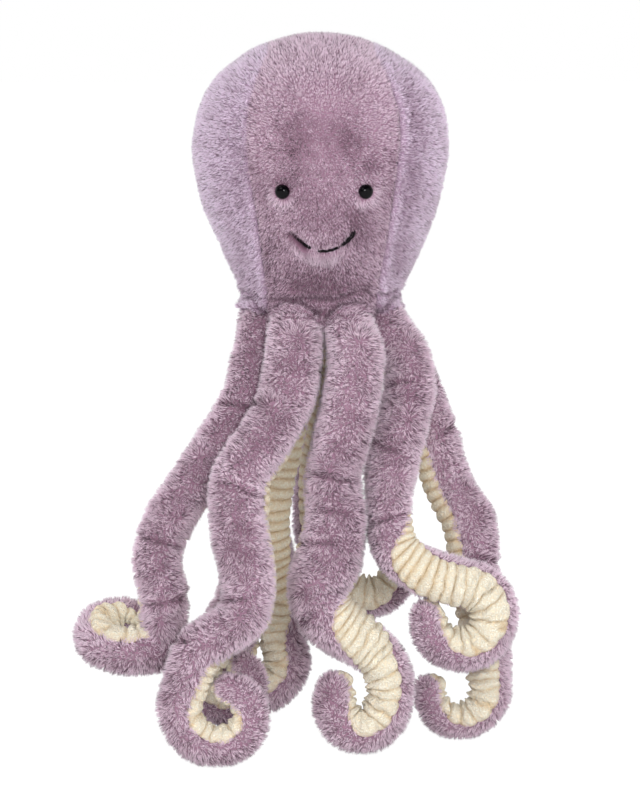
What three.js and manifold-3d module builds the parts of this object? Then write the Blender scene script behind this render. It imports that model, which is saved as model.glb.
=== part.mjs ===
// A large plush octopus: a round, six-panel head with safety eyes and a stitched smile, and eight
// stuffed arms with a ribbed underside, each sewn under the head and curled at its end.
// Millimetres, +Z up. The face looks along -Y, and left is -X, as someone facing the toy sees it.
// The toy stands on the curls of five of its arms. The other three are held in the air.

import * as THREE from 'three';
import { mergeVertices } from 'three/addons/utils/BufferGeometryUtils.js';
import Module from 'manifold-3d';

const wasm = await Module();
wasm.setup();

// Driving dimensions, over the dense pile of the plush

const standHeight = 306;        // floor to the underside of the head
const headHeight = 182;         // underside of the head to its crown
const headRadius = 86;          // half the head's width
const armRadius = 17.5;         // an arm where it is fullest
const armCount = 8;
const armGap = 5;               // between two neighbouring arms where they leave the head
const coverThickness = 4;       // fabric with its dense pile
const seamGap = 0.35;           // clearance between two sewn pieces, and round the filling
const floorCut = 0.5;           // how far an arm's rest is pressed flat

const eyeDiameter = 10;
const eyeSpacing = 56;
const shankDiameter = 3.5;
const shankLength = 9;
const washerDiameter = 14;
const washerThickness = 1.5;
const smileWidth = 42;
const smileDepth = 12;
const threadDiameter = 1.5;

// Worked out from them

const rootRadius = 0.86 * armRadius;
const ringRadius = (2 * rootRadius + armGap) / (2 * Math.sin(Math.PI / armCount));
const rootHeight = standHeight - seamGap - rootRadius;
const neckRadius = ringRadius + rootRadius / 2;
const reach = 2 * (headRadius + headHeight);

const part = new THREE.Group();

// Each piece is a mesh of its own, with the material of its kind

const kinds = {
  plush: ['#a98a9c', 0.95],
  side_plush: ['#b3a0b6', 0.95],
  ribbed_fabric: ['#e3d8c4', 0.95],
  filling: ['#efeee9', 1],
  eye: ['#131214', 0.08],
  washer: ['#dcdcd6', 0.4],
  thread: ['#1b1719', 0.7],
  base_fabric: ['#8d7084', 0.95],
};

function addPiece(name, geometry, kind) {
  const [color, roughness] = kinds[kind];
  const mesh = new THREE.Mesh(geometry, new THREE.MeshStandardMaterial({ color, roughness, metalness: 0 }));
  mesh.name = name;
  part.add(mesh);
}

// Joining and cutting: a geometry becomes a solid, is cut or trimmed, and comes back

function solidOf(geometry) {
  const bare = geometry.clone();
  bare.deleteAttribute('normal');
  bare.deleteAttribute('uv');
  const merged = mergeVertices(bare, 1e-4);
  return new wasm.Manifold(new wasm.Mesh({
    numProp: 3,
    vertProperties: Float32Array.from(merged.attributes.position.array),
    triVerts: Uint32Array.from(merged.index.array),
  }));
}

function geometryOf(solid) {
  const mesh = solid.getMesh();
  const geometry = new THREE.BufferGeometry();
  geometry.setAttribute('position', new THREE.BufferAttribute(mesh.vertProperties, 3));
  geometry.setIndex(new THREE.BufferAttribute(mesh.triVerts, 1));
  return geometry;
}

const cut = (geometry, ...tools) => geometryOf(
  tools.reduce((solid, tool) => solid.subtract(solidOf(tool)), solidOf(geometry)));

const trim = (geometry, ...regions) => geometryOf(
  regions.reduce((solid, region) => solid.intersect(solidOf(region)), solidOf(geometry)));

// A solid of revolution about Z, from a profile of radius and height
function revolve(points, turns) {
  const geometry = new THREE.LatheGeometry(points, turns);
  geometry.rotateX(Math.PI / 2);
  return geometry;
}

// The head's outline, from the neck to its widest ring and on to the crown. Heights are shares of
// the head's height. Widths below are shares of the swell from the neck's radius up to the head's
// own, and above it shares of the head's radius.

const lowerHeadShares = [[0, 0], [0.1, 0.21], [0.2, 0.465], [0.31, 0.725], [0.42, 0.9], [0.55, 1]];
const upperHeadShares = [[0.66, 0.975], [0.76, 0.908], [0.85, 0.787], [0.92, 0.6], [0.97, 0.38], [1, 0]];
const headTurns = 24;

function headProfile(inset) {
  const lower = lowerHeadShares.map(([rise, swell]) => new THREE.Vector2(
    neckRadius + (headRadius - neckRadius) * swell - inset, standHeight + headHeight * rise));
  const upper = upperHeadShares.map(([rise, width]) => new THREE.Vector2(
    (headRadius - inset) * width, standHeight + headHeight * rise - inset * Math.sqrt(1 - width * width)));
  return [...lower, ...upper];
}

// The head's radius at a height
function headRadiusAt(height, inset = 0) {
  const profile = headProfile(inset);
  const above = Math.max(1, profile.findIndex((point) => point.y > height));
  const [a, b] = [profile[above - 1], profile[above]];
  return THREE.MathUtils.mapLinear(height, a.y, b.y, a.x, b.x);
}

function headShell() {
  const outer = headProfile(0);
  const inner = headProfile(coverThickness).reverse();
  const neck = inner.length - 1;
  inner[neck].y = standHeight;
  return revolve([...outer, ...inner, outer[0].clone()], headTurns);
}

// The front seams lie at these half widths of the head's radius in the front view, and the side
// seams this far in front of the head's middle in the side view, both by height.

const frontSeamShares = [
  [-0.1, 0.45], [0.02, 0.455], [0.15, 0.49], [0.3, 0.535], [0.45, 0.58], [0.6, 0.61],
  [0.72, 0.6], [0.84, 0.53], [0.93, 0.43], [1.1, 0.33],
];
const sideSeamShares = [[-0.1, 0], [0.45, 0.02], [0.65, 0.12], [0.84, 0.33], [0.95, 0.29], [1.1, 0.26]];

const seamLine = (shares, side, shift) => shares.map(([rise, out]) => new THREE.Vector2(
  side * headRadius * out + shift, standHeight + headHeight * rise));

// A block as thick as the whole head, with its outline in the front view
function frontBlock(left, right) {
  const block = new THREE.ExtrudeGeometry(new THREE.Shape([...right, ...left.reverse()]), {
    depth: 2 * reach, bevelEnabled: false });
  return block.rotateX(Math.PI / 2).translate(0, reach, 0);
}

// The same with its outline in the side view
function sideBlock(front, back) {
  return frontBlock(front, back).rotateZ(Math.PI / 2);
}

const farLine = (line, to) => line.map((point) => new THREE.Vector2(to, point.y));

function frontRegion(side) {
  const half = seamGap / 2;
  if (side === 0) {
    return frontBlock(seamLine(frontSeamShares, -1, half), seamLine(frontSeamShares, 1, -half));
  }
  const seam = seamLine(frontSeamShares, side, side * half);
  const far = farLine(seam, side * reach);
  return side < 0 ? frontBlock(far, seam) : frontBlock(seam, far);
}

function sideRegion(isFront) {
  const seam = seamLine(sideSeamShares, -1, isFront ? -seamGap / 2 : seamGap / 2);
  return isFront ? sideBlock(farLine(seam, -reach), seam) : sideBlock(seam, farLine(seam, reach));
}

// The eyes: a glossy dome with a shank that goes through the face panel into a locking washer.
// Each is modelled at the origin, looking along +Z, with the cover's surface at height 0.

const eyeHeight = standHeight + 0.434 * headHeight;
const eyeSink = eyeDiameter / 10;
const domeHeight = 0.36 * eyeDiameter;
const washerTop = -(coverThickness + 2 * seamGap);
const roundTurns = 12;

function eyeShape(clearance) {
  const radius = eyeDiameter / 2 + clearance;
  const shank = shankDiameter / 2 + clearance;
  const points = [
    new THREE.Vector2(0, -shankLength - clearance), new THREE.Vector2(shank, -shankLength - clearance),
    new THREE.Vector2(shank, -eyeSink - clearance), new THREE.Vector2(radius, -eyeSink - clearance),
  ];
  const steps = 3;
  for (let i = 0; i <= steps; i += 1) {
    const angle = (i / steps) * (Math.PI / 2);
    points.push(new THREE.Vector2(radius * Math.cos(angle), (domeHeight + clearance) * Math.sin(angle)));
  }
  points[points.length - 1].x = 0;
  return revolve(points, roundTurns);
}

function washerShape(clearance, hole) {
  const bore = hole * (shankDiameter / 2 + seamGap);
  const rim = washerDiameter / 2 + clearance;
  const top = washerTop + clearance;
  const bottom = washerTop - washerThickness - clearance;
  const outline = [[bore, bottom], [rim, bottom], [rim, top], [bore, top]];
  if (hole) outline.push([bore, bottom]);
  return revolve(outline.map(([x, y]) => new THREE.Vector2(x, y)), roundTurns);
}

// Carries a piece from the origin to an eye's place on the face panel
function toEye(geometry, side) {
  const across = side * eyeSpacing / 2;
  const radius = headRadiusAt(eyeHeight);
  const slope = Math.atan2(headRadiusAt(eyeHeight + eyeDiameter / 2) - radius, eyeDiameter / 2);
  const turn = Math.asin(across / radius);
  return geometry.rotateX(Math.PI / 2 + slope).translate(0, -radius, 0).rotateZ(turn).translate(0, 0, eyeHeight);
}

// The smile: one thick thread, half sunk in the pile, along a bow on the face panel

const smileHeight = standHeight + 0.212 * headHeight;
const smileSteps = 18;

function smileThread(radius, overrun) {
  const points = [];
  for (let i = 0; i <= smileSteps; i += 1) {
    const t = (2 * i) / smileSteps - 1;
    const across = (t * (smileWidth + overrun)) / 2;
    const height = smileHeight + smileDepth * t * t;
    points.push(new THREE.Vector3(across, -Math.sqrt(headRadiusAt(height) ** 2 - across ** 2), height));
  }
  const section = new THREE.Shape().absarc(0, 0, radius, 0, 2 * Math.PI);
  return new THREE.ExtrudeGeometry(section, {
    steps: smileSteps, curveSegments: 3, bevelEnabled: false, extrudePath: new THREE.CatmullRomCurve3(points) });
}

function buildHead() {
  const shell = headShell();
  const pockets = [-1, 1].flatMap((side) => [toEye(eyeShape(seamGap), side), toEye(washerShape(seamGap, 0), side)]);
  const groove = smileThread(threadDiameter / 2 + seamGap, 2 * seamGap);
  const names = [[-1, 'left'], [0, ''], [1, 'right']];
  for (const [side, word] of names) {
    for (const isFront of [true, false]) {
      const place = isFront ? 'front' : 'back';
      const middle = isFront ? 'face_panel' : 'back_panel';
      const panel = trim(shell, frontRegion(side), sideRegion(isFront));
      const isFace = side === 0 && isFront;
      addPiece(side === 0 ? middle : `head_${word}_${place}_panel`,
        isFace ? cut(panel, ...pockets, groove) : panel, side === 0 ? 'plush' : 'side_plush');
    }
  }

  const inset = coverThickness + seamGap;
  const filling = headProfile(inset);
  filling[0] = new THREE.Vector2(headRadiusAt(standHeight + inset, inset), standHeight + inset);
  addPiece('head_filling', cut(revolve([new THREE.Vector2(0, standHeight + inset), ...filling], headTurns),
    ...pockets), 'filling');

  for (const [side, word] of [[-1, 'left'], [1, 'right']]) {
    addPiece(`eye_${word}`, toEye(eyeShape(0), side), 'eye');
    addPiece(`eye_washer_${word}`, toEye(washerShape(0, 1), side), 'washer');
  }
  addPiece('smile_embroidery', smileThread(threadDiameter / 2, 0), 'thread');

  const base = new THREE.CylinderGeometry(neckRadius - inset, neckRadius - inset, coverThickness, headTurns);
  base.rotateX(Math.PI / 2).translate(0, 0, standHeight + coverThickness / 2);
  addPiece('base_panel', base, 'base_fabric');
}

// The arms. A route runs from the sewn root to the start of the curl. Its places are shares: across
// and back of the ring that the roots stand on, and up of the stand height. A curl is a spiral
// about a centre, in a plane whose axis leans back from facing the viewer: it starts at an angle,
// sweeps round, and narrows from its first radius to its last, both shares of the arm's radius.
// A stretch makes it taller than wide. The tilt turns the underside from the curl's centre towards
// its axis, at the curl's start and end. Before the curl the underside looks at the toy's axis,
// or past it by a look, and it turns over between two places, counted in route points back from
// the curl's start, the short way or the way that is given. A resting curl is as high as its
// lowest point needs.

const arms = [
  {
    name: 'left_front', angle: -67.5, fullShare: 1,
    routeShares: [[-1.04, -0.57, 0.871], [-1.16, -0.74, 0.781], [-1.48, -0.92, 0.7], [-1.85, -1.09, 0.617],
      [-2.21, -1.23, 0.53], [-2.42, -1.32, 0.44], [-2.34, -1.4, 0.35]],
    curl: { centreShares: [-2.96, -1.0, 0.264], lean: 64, start: -40, sweep: -282,
      radiusShares: [1.62, 0.85], stretchShare: 1, tilt: [40, 35], look: 40, turnOver: [3, -2] },
  },
  {
    name: 'front_left', angle: -22.5, fullShare: 1,
    routeShares: [[-0.44, -1.18, 0.876], [-0.55, -1.4, 0.795], [-0.88, -1.66, 0.711], [-1.24, -1.88, 0.632],
      [-1.25, -2.08, 0.521], [-1.12, -2.21, 0.413], [-1.2, -2.28, 0.335], [-1.52, -2.3, 0.298],
      [-1.87, -2.3, 0.26]],
    curl: { centreShares: [-1.54, -2.3, 0], rests: true, lean: 0, start: 150, sweep: 286,
      radiusShares: [1.71, 0.93], stretchShare: 1, tilt: [0, 0], turnOver: [2.2, -0.8] },
  },
  {
    name: 'front_right', angle: 22.5, fullShare: 1,
    routeShares: [[0.48, -1.18, 0.885], [0.4, -1.36, 0.794], [0.26, -1.44, 0.706], [0.17, -1.44, 0.617],
      [0.22, -1.44, 0.527], [0.1, -1.49, 0.449], [-0.04, -1.53, 0.376], [0.06, -1.55, 0.314]],
    curl: { centreShares: [0.51, -1.53, 0], rests: true, lean: 0, start: 62, sweep: -256,
      radiusShares: [1.64, 1.1], stretchShare: 1.14, tilt: [60, -15], look: 30, way: 1,
      turnOver: [3.2, -0.8] },
  },
  {
    name: 'right_front', angle: 67.5, fullShare: 0.97,
    routeShares: [[1.28, -0.57, 0.869], [1.31, -0.72, 0.81], [1.2, -0.88, 0.739], [1.07, -1.01, 0.663],
      [1.02, -1.14, 0.587], [1.06, -1.23, 0.514], [1.24, -1.31, 0.452], [1.66, -1.36, 0.403]],
    curl: { centreShares: [2.08, -1.31, 0.305], lean: 0, start: 60, sweep: -244,
      radiusShares: [1.3, 1.18], stretchShare: 1, tilt: [78, -10], look: -55, way: 1,
      turnOver: [3.9, 0.9] },
  },
  {
    name: 'right_back', angle: 112.5, fullShare: 1,
    routeShares: [[1.28, 0.44, 0.848], [1.54, 0.42, 0.772], [1.76, 0.31, 0.67], [1.98, 0.18, 0.568],
      [2.24, 0, 0.479], [2.3, -0.16, 0.395], [2.38, -0.32, 0.315], [2.55, -0.48, 0.23]],
    curl: { centreShares: [2.12, -0.59, 0], rests: true, lean: 0, start: 12, sweep: -200,
      radiusShares: [1.33, 1.2], stretchShare: 1, tilt: [44, 0], turnOver: [3, 0] },
  },
  {
    name: 'left_back', angle: -112.5, fullShare: 0.9,
    routeShares: [[-1.09, 0.53, 0.841], [-1.18, 0.57, 0.759], [-1.24, 0.57, 0.643], [-1.25, 0.55, 0.528],
      [-1.19, 0.53, 0.411], [-1.24, 0.48, 0.307], [-1.52, 0.44, 0.227]],
    curl: { centreShares: [-1.42, 0.44, 0], rests: true, lean: 0, start: 165, sweep: 246,
      radiusShares: [1.27, 0.95], stretchShare: 1, tilt: [10, 0], turnOver: [2.2, -0.8] },
  },
  {
    name: 'back_left', angle: -157.5, fullShare: 1,
    routeShares: [[-0.4, 1.08, 0.818], [-0.5, 1.12, 0.722], [-0.63, 1.17, 0.626], [-0.76, 1.22, 0.531],
      [-0.8, 1.3, 0.448], [-0.7, 1.36, 0.365], [-0.5, 1.38, 0.283]],
    curl: { centreShares: [-1.03, 1.36, 0], rests: true, lean: 0, start: 32, sweep: -280,
      radiusShares: [1.6, 0.95], stretchShare: 1, tilt: [20, 0], turnOver: [3.6, 0.4] },
  },
  {
    name: 'back_right', angle: 157.5, fullShare: 1,
    routeShares: [[0.39, 1.34, 0.825], [0.32, 1.62, 0.728], [0.22, 1.78, 0.63], [0.12, 1.84, 0.533],
      [0.07, 1.84, 0.436]],
    curl: { centreShares: [0.78, 1.78, 0.363], lean: 0, start: 185, sweep: 190,
      radiusShares: [1.5, 1.45], stretchShare: 1, tilt: [55, 40], turnOver: [3, 0] },
  },
];

// The arm's radius along it, as shares of its length and of its fullest radius
const taperShares = [[0, 0.86], [0.1, 1], [0.5, 1], [0.62, 0.96], [0.75, 0.88], [0.87, 0.81], [0.95, 0.73], [1, 0.64]];

const routeRings = 5;
const bendRings = 6;
const bendPoints = 3;
const curlRings = 10;
const capAngles = [82, 55, 28].map(THREE.MathUtils.degToRad);

function rootPlace({ angle }) {
  const turn = THREE.MathUtils.degToRad(angle);
  return new THREE.Vector3(Math.sin(turn) * ringRadius, -Math.cos(turn) * ringRadius, rootHeight);
}

// The curl's centre, its axis, and the two directions of its plane
function curlFrame({ curl }, centreHeight) {
  const [across, back, rise] = curl.centreShares;
  const lean = THREE.MathUtils.degToRad(curl.lean);
  const axis = new THREE.Vector3(0, -Math.cos(lean), Math.sin(lean));
  const wide = new THREE.Vector3(1, 0, 0);
  return {
    centre: new THREE.Vector3(across * ringRadius, back * ringRadius,
      curl.rests ? centreHeight : rise * standHeight),
    axis, wide, tall: axis.clone().cross(wide),
  };
}

function curlPlaces(arm, frame) {
  const { start, sweep, radiusShares, stretchShare } = arm.curl;
  const places = [];
  for (let i = 0; i <= curlRings; i += 1) {
    const share = i / curlRings;
    const angle = THREE.MathUtils.degToRad(start + sweep * share);
    const radius = armRadius * THREE.MathUtils.lerp(radiusShares[0], radiusShares[1], share);
    places.push(frame.centre.clone()
      .addScaledVector(frame.wide, (radius * Math.cos(angle)) / stretchShare)
      .addScaledVector(frame.tall, radius * Math.sin(angle) * stretchShare));
  }
  return places;
}

function taperAt(share) {
  const next = Math.max(1, taperShares.findIndex(([along]) => along >= share - 1e-9));
  const [[a, p], [b, q]] = [taperShares[next - 1], taperShares[next]];
  return THREE.MathUtils.lerp(p, q, (share - a) / (b - a));
}

// Angles about a tangent, from one direction to another, without jumps from ring to ring
function anglesTo(targets, tangents, normals) {
  let before = 0;
  return targets.map((target, i) => {
    const quarter = tangents[i].clone().cross(normals[i]);
    const angle = Math.atan2(target.dot(quarter), target.dot(normals[i]));
    before = angle + 2 * Math.PI * Math.round((before - angle) / (2 * Math.PI));
    return before;
  });
}

// A normal carried along the route without turning about it
function carriedNormals(tangents, first) {
  const normals = [];
  tangents.forEach((tangent, i) => {
    const normal = (i ? normals[i - 1] : first).clone();
    normals.push(normal.addScaledVector(tangent, -normal.dot(tangent)).normalize());
  });
  return normals;
}

// Where the underside looks: at the toy's axis on the route, and as tilted in the curl
function undersideLooks(arm, frame, places, tangents, stations, curlStart) {
  const last = stations[stations.length - 1];
  const look = THREE.MathUtils.degToRad(arm.curl.look ?? 0);
  const atAxis = places.map((place) => new THREE.Vector3(-place.x, -place.y, 0).normalize()
    .applyAxisAngle(new THREE.Vector3(0, 0, 1), look));
  const inCurl = places.map((place, i) => {
    const share = Math.max(0, (stations[i] - curlStart) / (last - curlStart));
    const tilt = THREE.MathUtils.degToRad(THREE.MathUtils.lerp(...arm.curl.tilt, share));
    const inward = frame.centre.clone().sub(place);
    inward.addScaledVector(frame.axis, -inward.dot(frame.axis)).normalize();
    return inward.multiplyScalar(Math.cos(tilt)).addScaledVector(frame.axis, Math.sin(tilt));
  });
  const normals = carriedNormals(tangents, atAxis[0]);
  const [from, to] = arm.curl.turnOver;
  const fades = stations.map((station) => THREE.MathUtils.smoothstep(station, curlStart - from, curlStart - to));
  const routeAngles = anglesTo(atAxis, tangents, normals);
  const curlAngles = anglesTo(inCurl, tangents, normals);
  const middle = fades.findIndex((fade) => fade > 0.5);
  const lag = (routeAngles[middle] - curlAngles[middle]) / (2 * Math.PI);
  const turns = arm.curl.way ? Math.ceil(lag) : Math.round(lag);
  return normals.map((normal, i) => {
    const angle = THREE.MathUtils.lerp(routeAngles[i], curlAngles[i] + 2 * Math.PI * turns, fades[i]);
    return normal.clone().applyAxisAngle(tangents[i], angle);
  });
}

// The rings of an arm's route: place, direction, radius, and where the underside looks
function armRings(arm, centreHeight) {
  const frame = curlFrame(arm, centreHeight);
  const route = arm.routeShares.map(([across, back, rise]) => new THREE.Vector3(
    across * ringRadius, back * ringRadius, rise * standHeight));
  const controls = [rootPlace(arm), ...route, ...curlPlaces(arm, frame)];
  const curve = new THREE.CatmullRomCurve3(controls, false, 'centripetal');
  const last = controls.length - 1;
  const curlStart = route.length + 1;

  const stations = [];
  const bendStart = curlStart - bendPoints;
  for (let i = 0; i < routeRings; i += 1) stations.push((i / routeRings) * bendStart);
  for (let i = 0; i < bendRings; i += 1) stations.push(bendStart + (i / bendRings) * bendPoints);
  for (let i = curlStart; i <= last; i += 1) stations.push(i);

  const places = stations.map((station) => curve.getPoint(station / last));
  const tangents = stations.map((station) => curve.getTangent(station / last));
  const looks = undersideLooks(arm, frame, places, tangents, stations, curlStart);
  const steps = places.map((place, i) => (i ? place.distanceTo(places[i - 1]) : 0));
  const total = steps.reduce((sum, step) => sum + step, 0);
  let gone = 0;
  return places.map((place, i) => {
    gone += steps[i];
    return {
      place, tangent: tangents[i], under: looks[i], side: tangents[i].clone().cross(looks[i]),
      radius: armRadius * taperAt(Math.min(1, gone / total)) * (i ? arm.fullShare : 1),
    };
  });
}

// The rings of one surface of the arm, so far inside its pile, with round ends
function surfaceRings(rings, inset) {
  const cap = (ring, way, angle) => {
    const radius = ring.radius - inset;
    return { ...ring, radius: radius * Math.cos(angle),
      place: ring.place.clone().addScaledVector(ring.tangent, way * radius * Math.sin(angle)) };
  };
  return [
    ...capAngles.map((angle) => cap(rings[0], -1, angle)),
    ...rings.map((ring) => ({ ...ring, radius: ring.radius - inset })),
    ...[...capAngles].reverse().map((angle) => cap(rings[rings.length - 1], 1, angle)),
  ];
}

// Half the angle of the section that the underside takes: it narrows to a tongue at the tip
function undersideAngles(count) {
  const wide = THREE.MathUtils.degToRad(66);
  const narrow = THREE.MathUtils.degToRad(20);
  return Array.from({ length: count }, (_, i) => THREE.MathUtils.lerp(
    wide, narrow, THREE.MathUtils.smoothstep(i, count - 8, count - 1)));
}

const onRing = (ring, angle) => ring.place.clone()
  .addScaledVector(ring.under, ring.radius * Math.cos(angle))
  .addScaledVector(ring.side, ring.radius * Math.sin(angle));

// One closed skin through a row of loops, with the given triangles on its ends. From a corner on,
// the loops run back along an inner face, whose squares are split the other way, so that the
// faces of a twisted arm stay alike.
function loft(loops, endFaces, backFrom = loops[0].length) {
  const size = loops[0].length;
  const index = [];
  for (let i = 0; i < loops.length - 1; i += 1) {
    for (let j = 0; j < size; j += 1) {
      const [a, b] = [i * size + j, i * size + ((j + 1) % size)];
      if (j < backFrom) index.push(a, b, a + size, b, b + size, a + size);
      else index.push(a, b, b + size, a, b + size, a + size);
    }
  }
  const end = (loops.length - 1) * size;
  for (const [a, b, c] of endFaces) index.push(a, c, b, end + a, end + b, end + c);
  const geometry = new THREE.BufferGeometry().setFromPoints(loops.flat());
  geometry.setIndex(index);
  return geometry;
}

// A curved strip: its outer face at no inset, its inner face inside it, between two angles
function armStrip(rings, thickness, spans, steps) {
  const outer = surfaceRings(rings, 0);
  const inner = surfaceRings(rings, thickness);
  const loops = outer.map((ring, i) => {
    const angles = Array.from({ length: steps + 1 }, (_, j) => THREE.MathUtils.lerp(...spans(i, ring), j / steps));
    const innerAngles = Array.from({ length: steps + 1 },
      (_, j) => THREE.MathUtils.lerp(...spans(i, inner[i]), j / steps));
    return [...angles.map((angle) => onRing(ring, angle)),
      ...innerAngles.map((angle) => onRing(inner[i], angle)).reverse()];
  });
  const faces = [];
  const lastCorner = 2 * steps + 1;
  for (let j = 0; j < steps; j += 1) {
    faces.push([j, j + 1, lastCorner - j], [j + 1, lastCorner - j - 1, lastCorner - j]);
  }
  return loft(loops, faces, steps + 1);
}

function armFilling(rings) {
  const half = undersideAngles(rings.length + 2 * capAngles.length);
  const loops = surfaceRings(rings, coverThickness + 1.3 * seamGap).map((ring, i) => {
    const open = half[i];
    const plush = Array.from({ length: 6 }, (_, j) => THREE.MathUtils.lerp(open, 2 * Math.PI - open, j / 5));
    return [...plush, -open / 3, open / 3].map((angle) => onRing(ring, angle));
  });
  const faces = loops[0].slice(2).map((_, j) => [0, j + 1, j + 2]);
  return loft(loops, faces);
}

// The plush or the underside of an arm, clear of the seam between them
function armCover(rings, isPlush) {
  const half = undersideAngles(rings.length + 2 * capAngles.length);
  const clear = ({ radius }) => seamGap / radius;
  if (isPlush) {
    return armStrip(rings, coverThickness, (i, ring) => [half[i] + clear(ring),
      2 * Math.PI - half[i] - clear(ring)], 5);
  }
  return armStrip(rings, coverThickness, (i, ring) => [-half[i] + clear(ring), half[i] - clear(ring)], 3);
}

// The height of a resting curl's centre that presses its lowest corner into the floor
function restingHeight(arm) {
  let height = 0;
  for (let tries = 0; tries < 3; tries += 1) {
    const plush = armCover(armRings(arm, height), true);
    plush.computeBoundingBox();
    height -= plush.boundingBox.min.z + floorCut;
  }
  return height;
}

function buildArm(arm) {
  const rings = armRings(arm, arm.curl.rests ? restingHeight(arm) : 0);
  const plush = armCover(rings, true);
  const floor = new THREE.BoxGeometry(2 * reach, 2 * reach, reach).translate(0, 0, -reach / 2);
  addPiece(`arm_${arm.name}_plush`, arm.curl.rests ? cut(plush, floor) : plush, 'plush');
  addPiece(`arm_${arm.name}_underside`, armCover(rings, false), 'ribbed_fabric');
  addPiece(`arm_${arm.name}_filling`, armFilling(rings), 'filling');
}

buildHead();
arms.forEach(buildArm);

// The origin lies on the floor, under the middle of the whole toy
const bounds = new THREE.Box3().setFromObject(part);
part.position.set(-(bounds.min.x + bounds.max.x) / 2, -(bounds.min.y + bounds.max.y) / 2, 0);
part.updateMatrixWorld(true);

export default part;
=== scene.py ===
import math

import bpy
import numpy as np
from mathutils import Matrix, Vector, kdtree


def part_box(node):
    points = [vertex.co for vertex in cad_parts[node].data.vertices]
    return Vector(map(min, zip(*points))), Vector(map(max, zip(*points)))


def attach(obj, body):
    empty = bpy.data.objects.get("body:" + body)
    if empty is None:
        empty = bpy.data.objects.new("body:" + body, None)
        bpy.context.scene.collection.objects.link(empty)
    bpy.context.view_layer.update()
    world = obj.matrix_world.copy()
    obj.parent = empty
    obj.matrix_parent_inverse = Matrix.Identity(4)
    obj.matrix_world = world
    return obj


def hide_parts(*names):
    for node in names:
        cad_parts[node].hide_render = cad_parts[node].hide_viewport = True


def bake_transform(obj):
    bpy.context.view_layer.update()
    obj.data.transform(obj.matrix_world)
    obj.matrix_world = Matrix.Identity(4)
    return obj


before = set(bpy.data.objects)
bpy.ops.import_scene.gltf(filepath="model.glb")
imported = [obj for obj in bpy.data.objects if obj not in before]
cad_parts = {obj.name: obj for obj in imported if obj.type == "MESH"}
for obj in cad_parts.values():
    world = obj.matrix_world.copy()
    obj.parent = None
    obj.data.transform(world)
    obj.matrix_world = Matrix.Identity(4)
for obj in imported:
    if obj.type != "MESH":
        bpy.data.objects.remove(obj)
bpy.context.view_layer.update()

# The head's cover
# Six panels of long plush are sewn edge to edge over a ball of fibre: one for the face, one for
# the back, and two down each side. The pile is brushed down and away from the middle of a panel,
# is dark at its roots and frosted pale at its tips, and parts along every seam.

stand_height, head_height, head_radius = 0.306, 0.182, 0.086
arm_radius, arm_count, arm_gap, seam_gap = 0.0175, 8, 0.005, 0.00035
root_radius = 0.86 * arm_radius
ring_radius = (2 * root_radius + arm_gap) / (2 * math.sin(math.pi / arm_count))
neck_radius = ring_radius + root_radius / 2
head_inset, backing = 0.0012, 0.0012
neck_line = stand_height - 0.003

low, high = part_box("head_filling")
head_axis = np.array([(low.x + high.x) / 2, (low.y + high.y) / 2, 0])
head_middle = head_axis + [0, 0, stand_height + 0.55 * head_height]
upper_head = stand_height + 0.6 * head_height

lower_head_shares = [(0, 0), (0.1, 0.21), (0.2, 0.465), (0.31, 0.725), (0.42, 0.9), (0.55, 1)]
upper_head_shares = [(0.66, 0.975), (0.76, 0.908), (0.85, 0.787), (0.92, 0.6), (0.97, 0.38), (1, 0)]
front_seam_shares = [(-0.1, 0.45), (0.02, 0.455), (0.15, 0.49), (0.3, 0.535), (0.45, 0.58), (0.6, 0.61),
                     (0.72, 0.6), (0.84, 0.53), (0.93, 0.43), (1.1, 0.33)]
side_seam_shares = [(-0.1, 0), (0.45, 0.02), (0.65, 0.12), (0.84, 0.33), (0.95, 0.29), (1.1, 0.26)]


def spline(controls, stations):
    """Points of a centripetal curve through control points, at stations counted in controls."""
    points = np.asarray(controls, float)
    ends = np.vstack([2 * points[0] - points[1], points, 2 * points[-1] - points[-2]])
    at = np.clip(np.asarray(stations, float), 0, len(points) - 1)
    left = np.minimum(at.astype(int), len(points) - 2)
    t = (at - left)[:, None]
    p0, p1, p2, p3 = (ends[left + k] for k in range(4))
    d0, d1, d2 = (np.linalg.norm(b - a, axis=1)[:, None] ** 0.5
                  for a, b in ((p0, p1), (p1, p2), (p2, p3)))
    go = ((p1 - p0) / d0 - (p2 - p0) / (d0 + d1) + (p2 - p1) / d1) * d1
    come = ((p2 - p1) / d1 - (p3 - p1) / (d1 + d2) + (p3 - p2) / d2) * d1
    return p1 + go * t + (3 * (p2 - p1) - 2 * go - come) * t**2 + (2 * (p1 - p2) + go + come) * t**3


def smoothstep(x, low, high):
    """A soft step from 0 at a low value to 1 at a high one."""
    t = np.clip((np.asarray(x, float) - low) / (high - low), 0, 1)
    return t * t * (3 - 2 * t)


def bell(away, reach):
    """1 where nothing is between, and soon nothing past a reach."""
    return np.exp(-(away / reach) ** 2)


def unit(vectors):
    """Vectors of the same direction, one long."""
    return vectors / np.maximum(np.linalg.norm(vectors, axis=-1, keepdims=True), 1e-12)


# The outline as a smooth row of radius and height, rolled in at the neck and flat at the crown
crown, neck_roll, crown_flat = stand_height + head_height, (0.004, 0.005), (0.2, 0.0011)
outline = [(neck_radius - neck_roll[0], stand_height - neck_roll[1])]
outline += [(neck_radius + (head_radius - neck_radius) * swell, stand_height + head_height * rise)
            for rise, swell in lower_head_shares]
outline += [(head_radius * wide, stand_height + head_height * rise) for rise, wide in upper_head_shares[:-1]]
outline += [(head_radius * crown_flat[0], crown - crown_flat[1]), (0, crown)]
profile = spline(outline, np.linspace(0, len(outline) - 1, 600))
profile_length = np.concatenate([[0], np.cumsum(np.linalg.norm(np.diff(profile, axis=0), axis=1))])


def head_radius_at(height):
    """The head's radius at a height."""
    return np.interp(height, profile[:, 1], profile[:, 0])


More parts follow.
